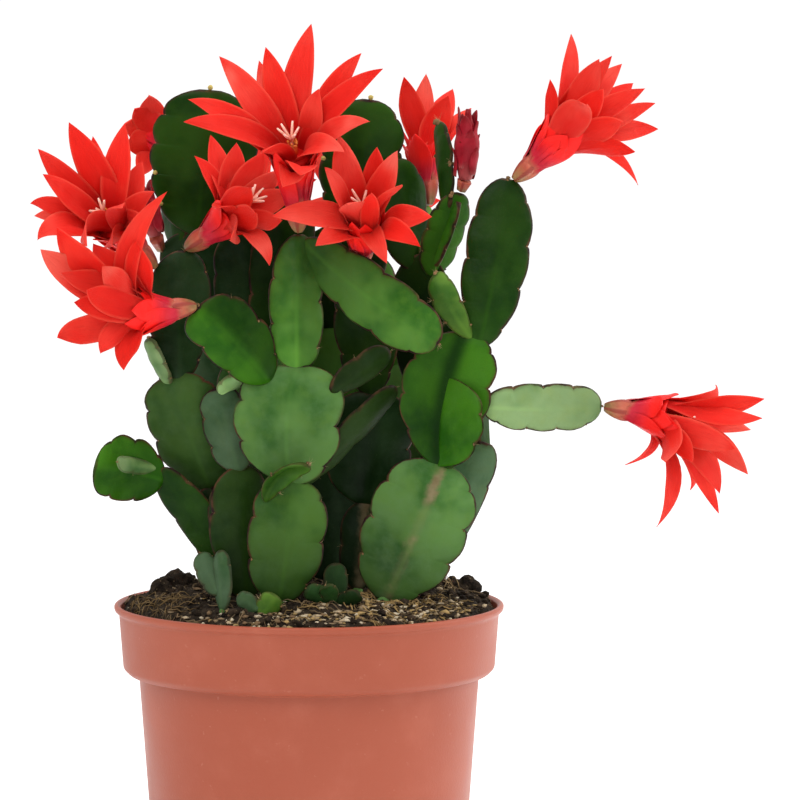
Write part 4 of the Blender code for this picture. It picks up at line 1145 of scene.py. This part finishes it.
def skin_look():
    look = Look("segment_skin", Specular_IOR_Level=0.06)
    # The skin's green comes with its painted light and shade already in it
    tone, margin, midrib, notch, along = look.values("tone_colour margin midrib notch along")
    cork, wax, size, groove = look.values("cork wax size groove")
    broad = look.noise(48, 3)
    fine = look.noise(520, 3, 0.6)

    # Uneven green, yellower at the base
    deeper, lighter = look.times_colour(tone, (0.42, 0.58, 0.4)), look.times_colour(tone, (1.45, 1.22, 1.35))
    body = look.mix(look.ramp(broad, 0.36, 0.62), deeper, lighter)
    warmer = look.times_colour(tone, (1.5, 1.15, 0.9))
    body = look.mix(look.patches((210, 4, 0.6), 0.4, 0.75, 0.0, 0.4), body, warmer)
    body = look.mix(look.ramp(along, 0.0, 0.3, 0.3, 0.0), body, look.times_colour(tone, (1.5, 1.4, 1.2)))

    # Waxy film
    film = look.times(look.patches((120, 4, 0.65), 0.35, 0.75), wax)
    film = look.times(film, look.ramp(fine, 0.3, 0.6, 0.6, 1.0))
    body = look.mix(film, body, look.mix(0.35, tone, (0.14, 0.21, 0.13)))

    # Paler midrib, or in its place painted shade along the fold
    rib = look.times(look.ramp(midrib, 0.1, 1.1, 1.0, 0.0), look.ramp(along, 0.0, 0.75, 0.32, 0.06))
    body = look.mix(rib, body, look.times_colour(tone, (2.0, 1.8, 1.6)))
    painted_groove_shade = look.times(look.ramp(midrib, 0.3, 4.5, 0.85, 0.0), groove)
    body = look.mix(painted_groove_shade, body, look.times_colour(tone, (0.08, 0.2, 0.1)))

    # Flecks, then the brown halo and the dark husk along the margin
    fleck = look.times(look.ramp(look.cells(1100), 0.17, 0.1), look.ramp(broad, 0.4, 0.6, 0.05, 0.3))
    body = look.mix(fleck, body, look.mix(0.3, tone, (0.12, 0.17, 0.05)))
    uneven = look.math("ADD", margin, look.times(look.math("SUBTRACT", fine, 0.5), 0.7))
    uneven = look.math("SUBTRACT", uneven, look.times(notch, 0.5))
    halo = look.times(look.ramp(uneven, 1.5, 0.4), look.patches((70,), 0.42, 0.66, 0.0, 0.4))
    body = look.mix(look.times(halo, size), body, (0.035, 0.02, 0.007))
    rim = look.times(look.ramp(uneven, 0.6, 0.25), look.patches((110,), 0.3, 0.5, 0.5, 1.0))
    husk = look.blotches((240,), (0.016, 0.006, 0.006), (0.06, 0.028, 0.012), low=0.4)
    body = look.mix(look.times(rim, size), body, husk)

    # Corky streak
    corky = look.math("SUBTRACT", 3.4, look.math("ADD", midrib, look.times(fine, 3.0)))
    corky = look.times(look.ramp(corky, -0.6, 1.6), cork)
    corky = look.math("MULTIPLY", corky, look.patches((85, 3), 0.38, 0.6, 0.15, 0.85), True)
    body = look.mix(corky, body, look.mix(look.noise(300, 3), (0.1, 0.055, 0.025), (0.24, 0.19, 0.11)))

    normal = look.bump(look.noise(90, 3), 0.0016, 0.45, look.bump(fine, 0.0003, 0.3))
    return look.finish(Base_Color=body, Roughness=look.ramp(broad, 0.3, 0.7, 0.34, 0.5), Normal=normal)


def petal_look():
    look = Look("petal", Specular_IOR_Level=0.1, Sheen_Weight=0.1, Sheen_Roughness=0.4, Sheen_Tint=(1, 0.4, 0.36, 1))
    tint, along, across, rim, pink = look.values("tint_colour along across rim pink")
    # Darker towards the foot: painted shade deep in the bloom
    red = look.mix(look.ramp(along, 0.05, 0.8), (0.6, 0.002, 0.003), (0.82, 0.02, 0.011))
    # Pinker and lighter towards the tip on some petals: painted highlight
    painted_highlight_rose = look.mix(look.ramp(along, 0.3, 1.0), (0.86, 0.04, 0.026), (0.92, 0.17, 0.12))
    red = look.mix(look.times(pink, look.patches((60,), 0.38, 0.68, 0.15, 1.0)), red, painted_highlight_rose)
    red = look.mix(look.times(look.patches((75,), 0.45, 0.75), 0.4), red, (0.86, 0.07, 0.04))
    # Lighter, pinker margins: painted highlight
    red = look.mix(look.ramp(rim, 0.75, 1.0, 0.0, 0.35), red, (0.9, 0.14, 0.08))
    red = look.times_colour(red, tint)
    run = {"X": look.times(across, 26), "Y": look.times(along, 3.2)}
    lines = look.node("ShaderNodeCombineXYZ", run).outputs[0]
    veins = look.node("ShaderNodeTexNoise", {"Vector": lines, "Scale": 1.6, "Detail": 3.0}).outputs["Fac"]
    red = look.mix(look.times(look.ramp(veins, 0.5, 0.72), 0.4), red, (0.55, 0.003, 0.005))
    normal = look.bump(veins, 0.0006, 0.5, look.bump(look.noise(1300), 0.0002, 0.4))
    glow = look.node("ShaderNodeBsdfTranslucent", {"Color": look.mix(0.5, red, (0.9, 0.02, 0.01)), "Normal": normal})
    both = look.node("ShaderNodeMixShader", {0: 0.3, 1: look.shader.outputs[0], 2: glow.outputs[0]})
    look.tree.links.new(both.outputs[0], look.tree.nodes["Material Output"].inputs["Surface"])
    return look.finish(Base_Color=red, Roughness=look.ramp(veins, 0.3, 0.7, 0.34, 0.5), Normal=normal)


def ovary_look():
    look = Look("ovary", Specular_IOR_Level=0.2, Subsurface_Weight=0.08, Subsurface_Scale=0.002)
    rib, along = look.values("rib along")
    olive = look.blotches((220, 3), (0.15, 0.09, 0.03), (0.27, 0.155, 0.06))
    flush = look.blotches((260, 3), (0.34, 0.06, 0.035), (0.42, 0.1, 0.055))
    body = look.mix(look.ramp(along, 0.05, 0.7), olive, flush)
    body = look.mix(look.ramp(rib, 0.5, 0.95, 0.0, 0.7), body, (0.2, 0.022, 0.02))
    rough = look.patches((300,), 0.3, 0.7, 0.38, 0.52)
    return look.finish(Base_Color=body, Roughness=rough, Normal=look.bump(look.noise(500), 0.0004, 0.4))


def tube_look(name, blotches, upper, upper_colour, foot, foot_colour, tinted, grain, rough):
    """A flower's tube or a bud: blotched, with other colours on its upper part and its foot, and lengthwise lines."""
    look = Look(name, Specular_IOR_Level=0.12)
    (along,) = look.values("along")
    body = look.mix(look.ramp(along, *upper), look.blotches(*blotches), upper_colour)
    body = look.mix(look.ramp(along, 0.0, *foot, 0.0), body, foot_colour)
    if tinted:
        body = look.times_colour(body, *look.values("tint_colour"))
    lines = look.noise(grain, 3, 0.6, (1.0, 1.0, 0.2))
    return look.finish(
        Base_Color=body,
        Roughness=look.ramp(lines, 0.3, 0.7, *rough),
        Normal=look.bump(lines, 0.0008, 0.5),
    )


def grainy_look(name, noise, dark, bump, **constants):
    """The piece's own tint, darkened by grain."""
    look = Look(name, **constants)
    (tint,) = look.values("tint_colour")
    body = look.mix(look.noise(*noise), look.times_colour(tint, dark), tint)
    return look, look.finish(Base_Color=body, Normal=look.bump(look.noise(bump[0]), *bump[1:]))


def stamen_look():
    constants = {"Specular_IOR_Level": 0.3, "Subsurface_Weight": 0.2, "Subsurface_Scale": 0.001}
    look, _ = grainy_look("stamens", (900,), (0.8, 0.75, 0.7), (1600, 0.0003, 0.5), **constants)
    return look.finish(Roughness=look.patches((700,), 0.3, 0.7, 0.45, 0.65))


def peat_look():
    look = Look("peat", Roughness=0.95, Specular_IOR_Level=0.12)
    (tint,) = look.values("tint_colour")
    dark = look.blotches((330, 5, 0.7), (0.009, 0.006, 0.004), (0.055, 0.038, 0.024), 0.3, 0.72)
    body = look.mix(look.ramp(look.cells(620), 0.2, 0.1, 0.0, 0.6), dark, (0.2, 0.15, 0.085))
    normal = look.bump(look.noise(800, 5, 0.7), 0.0016, 0.9)
    return look.finish(Base_Color=look.times_colour(body, tint), Normal=look.bump(look.cells(500), 0.0012, 0.7, normal))


def plastic_look():
    look = Look("terracotta_plastic", Specular_IOR_Level=0.2, Subsurface_Weight=0.03, Subsurface_Scale=0.002)
    body = look.blotches((9,), (0.29, 0.066, 0.034), (0.32, 0.077, 0.042))
    body = look.mix(look.times(look.patches((60, 4, 0.6), 0.45, 0.8), 0.25), body, (0.42, 0.13, 0.085))
    body = look.mix(look.times(look.patches((500, 3), 0.66, 0.78), 0.22), body, (0.5, 0.22, 0.16))
    lines = look.noise(6, 3, 0.5, (1.0, 1.0, 60.0))
    normal = look.bump(lines, 0.0003, 0.3, look.bump(look.noise(1400), 0.00012, 0.5))
    return look.finish(Base_Color=body, Roughness=look.patches((30, 4), 0.3, 0.7, 0.36, 0.5), Normal=normal)


def floor_look():
    look = Look("backdrop", Roughness=0.8, Specular_IOR_Level=0.0, Emission_Color=(1, 1, 1, 1), Emission_Strength=0.1)
    return look.finish(Base_Color=look.mix(look.noise(3), (0.93, 0.93, 0.93), (0.95, 0.95, 0.95)))


# What tube_look takes after the name: noise and colours of the blotches, start, end and colour of the upper part, end,
# strength and colour of the foot, whether the piece's tint counts, scale of the lines, and range of roughness
TUBE = (
    ((160, 3), (0.34, 0.006, 0.018), (0.46, 0.016, 0.034)), (0.15, 0.6), (0.74, 0.012, 0.009),
    (0.16, 0.75), (0.36, 0.13, 0.07), True, 260, (0.34, 0.5),
)
BUD = (
    ((150, 3), (0.19, 0.004, 0.01), (0.3, 0.009, 0.02)), (0.5, 1.0), (0.17, 0.003, 0.006),
    (0.3, 0.5), (0.4, 0.11, 0.1), False, 300, (0.36, 0.52),
)


# Pot and soil


def rounded(profile, radius=0.7, steps=4):
    """The profile with its corners rounded."""
    made = [profile[0]]
    for before, corner, after in zip(profile, profile[1:], profile[2:]):
        a, b, c = (np.array(p, float) for p in (before, corner, after))
        near = min(radius, np.linalg.norm(a - b) * 0.45, np.linalg.norm(c - b) * 0.45)
        start, end = b + unit(a - b) * near, b + unit(c - b) * near
        for k in range(steps + 1):
            s = k / steps
            made.append(tuple(start * (1 - s) ** 2 + b * 2 * s * (1 - s) + end * s * s))
    return [*made, profile[-1]]


def build_pot():
    profile = rounded(POT_OUTSIDE + POT_INSIDE)
    dense = [profile[0]]
    for a, b in zip(profile, profile[1:]):
        parts = max(1, int(math.dist(a, b) / 6))
        dense += [(a[0] + (b[0] - a[0]) * k / parts, a[1] + (b[1] - a[1]) * k / parts) for k in range(1, parts + 1)]
    loops = np.array([circle(r, z, turns(POT_SIDES)) for r, z in dense[1:-1]])
    pile = Pile()
    add_body(pile, loops, [(0, 0, dense[0][1]), (0, 0, dense[-1][1])])
    pot = pile.piece("pot_shell", "plastic", "terracotta_plastic", ["pot"])
    for k in range(DRAIN_HOLES):
        x, y = polar(DRAIN_REACH, 2 * math.pi * (k + 0.5) / DRAIN_HOLES)
        cutter = Pile()
        add_tube(cutter, [(x, y, -1), (x, y, 5)], [DRAIN_RADIUS] * 2, 24)
        cut(pot, cutter)


def cut(obj, pile):
    """Takes a closed shape out of a piece."""
    mesh = pile.mesh("cutter")
    mesh.shade_flat()
    cutter = add_object("cutter", mesh)
    modifier = obj.modifiers.new("hole", "BOOLEAN")
    modifier.operation = "DIFFERENCE"
    modifier.solver = "EXACT"
    modifier.object = cutter
    graph = bpy.context.evaluated_depsgraph_get()
    made = bpy.data.meshes.new_from_object(obj.evaluated_get(graph))
    obj.modifiers.clear()
    obj.data = made
    bpy.data.objects.remove(cutter)


def soil_height(x, y):
    """The rough surface: the even heap with lumps and crumbs on it, and none of them under the lip."""
    keep = smooth(SOIL_RADIUS - math.hypot(x, y), 0, 2)
    lumps = noise.fractal(Vector((x, y, 2)) * 0.11, 0.9, 2.2, 4)
    crumbs = noise.fractal(Vector((x, y, 9)) * 0.45, 0.8, 2.1, 3)
    return float(heap(x, y) + keep * (1.3 + 1.1 * lumps + 0.8 * crumbs))


def strewn(rng, reach):
    """A place on the soil, by its distance from the middle, that lies anywhere in a circle."""
    angle = rng.uniform(0, 2 * math.pi)
    return polar(reach * math.sqrt(rng.random()), angle)


def build_soil():
    pile = Pile()
    angles = turns(SOIL_SIDES)
    loops = [circle(r, z, angles) for r, z in SOIL_SIDE]
    for r in SOIL_RADIUS * (1 - np.linspace(0, 0.985, SOIL_RINGS)[1:]):
        x, y = r * np.cos(angles), r * np.sin(angles)
        loops.append(circle(r, [soil_height(a, b) for a, b in zip(x, y)], angles))
    ends = [(0, 0, SOIL_SIDE[0][1]), (0, 0, soil_height(0, 0))]
    add_body(pile, np.array(loops), ends, tint_colour=(1, 1, 1))
    rng = random.Random("soil")
    for x, y, size in BIG_CLODS:
        points, triangles = BALLS[3]
        push = [1 + 0.35 * noise.fractal(Vector(p * 1.4) + Vector((x, y, 0)), 0.8, 2.1, 4) for p in points]
        place = np.array([x, y, heap(x, y) + size * 0.4])
        pile.add(points * np.array(push)[:, None] * size + place, (), triangles, tint_colour=(1.1, 1.1, 1.1))
    for _ in range(CLODS):
        x, y = strewn(rng, 56.5)
        size = rng.uniform(0.4, 1.3) ** 1.5
        stretch = (rng.uniform(0.7, 1.5), rng.uniform(0.7, 1.5), rng.uniform(0.6, 1.1))
        shade = rng.uniform(0.5, 1.7)
        centre = np.array([x, y, soil_height(x, y) + size * 0.25])
        add_ball(pile, centre, size, rng, 0.25, stretch, tint_colour=np.array([1, 0.95, 0.9]) * shade)
    pile.piece("peat_heap", "peat", "peat", ["soil"])


def strand(pile, rng, place, length, radius, colour, lift, heading=None):
    """A fibre that lies on the soil, bending as it goes."""
    x, y = place
    heading = rng.uniform(0, 2 * math.pi) if heading is None else heading
    path = []
    rise = rng.uniform(0.2, 0.8)
    steps = len(STRAND_RADII) - 1
    for k in range(steps + 1):
        path.append([x, y, soil_height(x, y) + 0.25 + rise * math.sin(math.pi * k / steps) * lift])
        heading += rng.gauss(0, 0.35)
        x += math.cos(heading) * length / steps
        y += math.sin(heading) * length / steps
        if math.hypot(x, y) > SOIL_RADIUS + 0.2:
            x, y = x * 0.97, y * 0.97
    add_tube(pile, path, [radius * s for s in STRAND_RADII], 5, tint_colour=colour)


def build_litter():
    """Fibres, pale grains and bark flakes strewn on the soil, thickest where the photograph shows them."""
    pile = Pile()
    rng = random.Random("litter")
    for _ in range(420):
        place = strewn(rng, 56)
        straw = np.array([0.2, 0.14, 0.075]) * rng.uniform(0.4, 1.2)
        strand(pile, rng, place, rng.uniform(3, 11), rng.uniform(0.1, 0.24), straw, 1.2)
    for _ in range(190):
        angle = math.radians(rng.gauss(-55, 26))
        place = polar(rng.uniform(30, 56), angle)
        straw = np.array([0.3, 0.2, 0.08]) * rng.uniform(0.6, 1.3)
        strand(pile, rng, place, rng.uniform(2.5, 8), rng.uniform(0.12, 0.3), straw, 1.0)
    for _ in range(46):
        angle = math.radians(rng.gauss(203, 9))
        place = polar(rng.uniform(44, 57), angle)
        straw = np.array([0.2, 0.13, 0.055]) * rng.uniform(0.6, 1.3)
        heading = rng.uniform(0, 2 * math.pi)
        strand(pile, rng, place, rng.uniform(4, 9), 0.13, straw, rng.uniform(1, 5), heading)
    for count, direction, spread, low, high in GRAINS:
        for _ in range(count):
            angle = math.radians(rng.gauss(direction, spread))
            x, y = polar(rng.uniform(low, high), angle)
            size = rng.uniform(0.3, 0.9)
            colour = rng.choice(GRAIN_COLOURS)
            stretch = (rng.uniform(0.8, 1.8), rng.uniform(0.8, 1.6), rng.uniform(0.4, 0.9))
            centre = np.array([x, y, soil_height(x, y) + size * 0.4])
            add_ball(pile, centre, size, rng, 0.55, stretch, tint_colour=colour)
    for _ in range(7):
        place = 46 + rng.uniform(-3, 3), 12 + rng.uniform(-8, 2)
        strand(pile, rng, place, rng.uniform(5, 9), 0.14, (0.4, 0.28, 0.14), rng.uniform(3, 7), rng.uniform(2.4, 3.6))
    pile.piece("soil_litter", "litter", "peat")


# Light, floor and camera


def turn_to(obj, way):
    obj.rotation_euler = way.to_track_quat("-Z", "Y").to_euler()


def build_stage():
    """A wide white floor, which fills the view behind the pot."""
    pile = Pile()
    sides = 64
    points = np.concatenate([*(circle(r, FLOOR_Z, turns(sides)) for r in FLOOR_RINGS), [(0, 0, FLOOR_Z)]])
    count = len(FLOOR_RINGS)
    pile.add(points, rings(count, sides), fan(sides, (count - 1) * sides, count * sides))
    mesh = pile.mesh("floor")
    mesh.materials.append(floor_look())
    add_object("floor", mesh)


def build_light():
    for name, place, sizes, power in LIGHTS:
        data = bpy.data.lights.new(name, "AREA")
        data.shape = "RECTANGLE"
        data.size, data.size_y = sizes
        data.energy = power
        obj = add_object(name, data)
        obj.location = place
        turn_to(obj, Vector(LIT) - Vector(place))
    world = bpy.data.worlds.new("white_room")
    world.use_nodes = True
    background = world.node_tree.nodes["Background"]
    background.inputs["Color"].default_value = (1, 1, 1, 1)
    background.inputs["Strength"].default_value = 1.0
    bpy.context.scene.world = world
    bpy.context.scene.view_settings.view_transform = "Standard"


def build_camera():
    data = bpy.data.cameras.new("view")
    data.sensor_width = SENSOR
    data.lens = SENSOR * SEEN_AT / VIEW_HEIGHT
    data.clip_start = 0.1
    data.clip_end = 200
    camera = add_object("view", data)
    target = Vector((SEEN_MIDDLE[0], 0, SEEN_MIDDLE[1] / math.cos(SEEN_FROM))) * MM
    away = Vector((0, -math.cos(SEEN_FROM), math.sin(SEEN_FROM))) * SEEN_AT * MM
    camera.location = target + away
    turn_to(camera, -away)
    bpy.context.scene.camera = camera


# Building

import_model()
BALLS = make_balls()
MATERIALS = {
    "skin": skin_look(),
    "wool": grainy_look(
        "areole_wool", (1500,), (0.6, 0.55, 0.5), (2500, 0.0004, 0.8), Roughness=0.9, Specular_IOR_Level=0.1
    )[1],
    "petal": petal_look(),
    "tube": tube_look("flower_tube", *TUBE),
    "ovary": ovary_look(),
    "stamen": stamen_look(),
    "bud": tube_look("bud_scales", *BUD),
    "peat": peat_look(),
    "litter": grainy_look(
        "litter", (900, 3), (0.55, 0.5, 0.45), (1800, 0.0005, 0.7), Roughness=0.85, Specular_IOR_Level=0.15
    )[1],
    "plastic": plastic_look(),
}
build_pot()
build_soil()
build_litter()
for stem in STEMS:
    build_stem(stem)
for bloom in BLOOMS:
    build_bloom(bloom)
for bud in BUDS:
    build_bud(bud)
build_stage()
build_light()
build_camera()
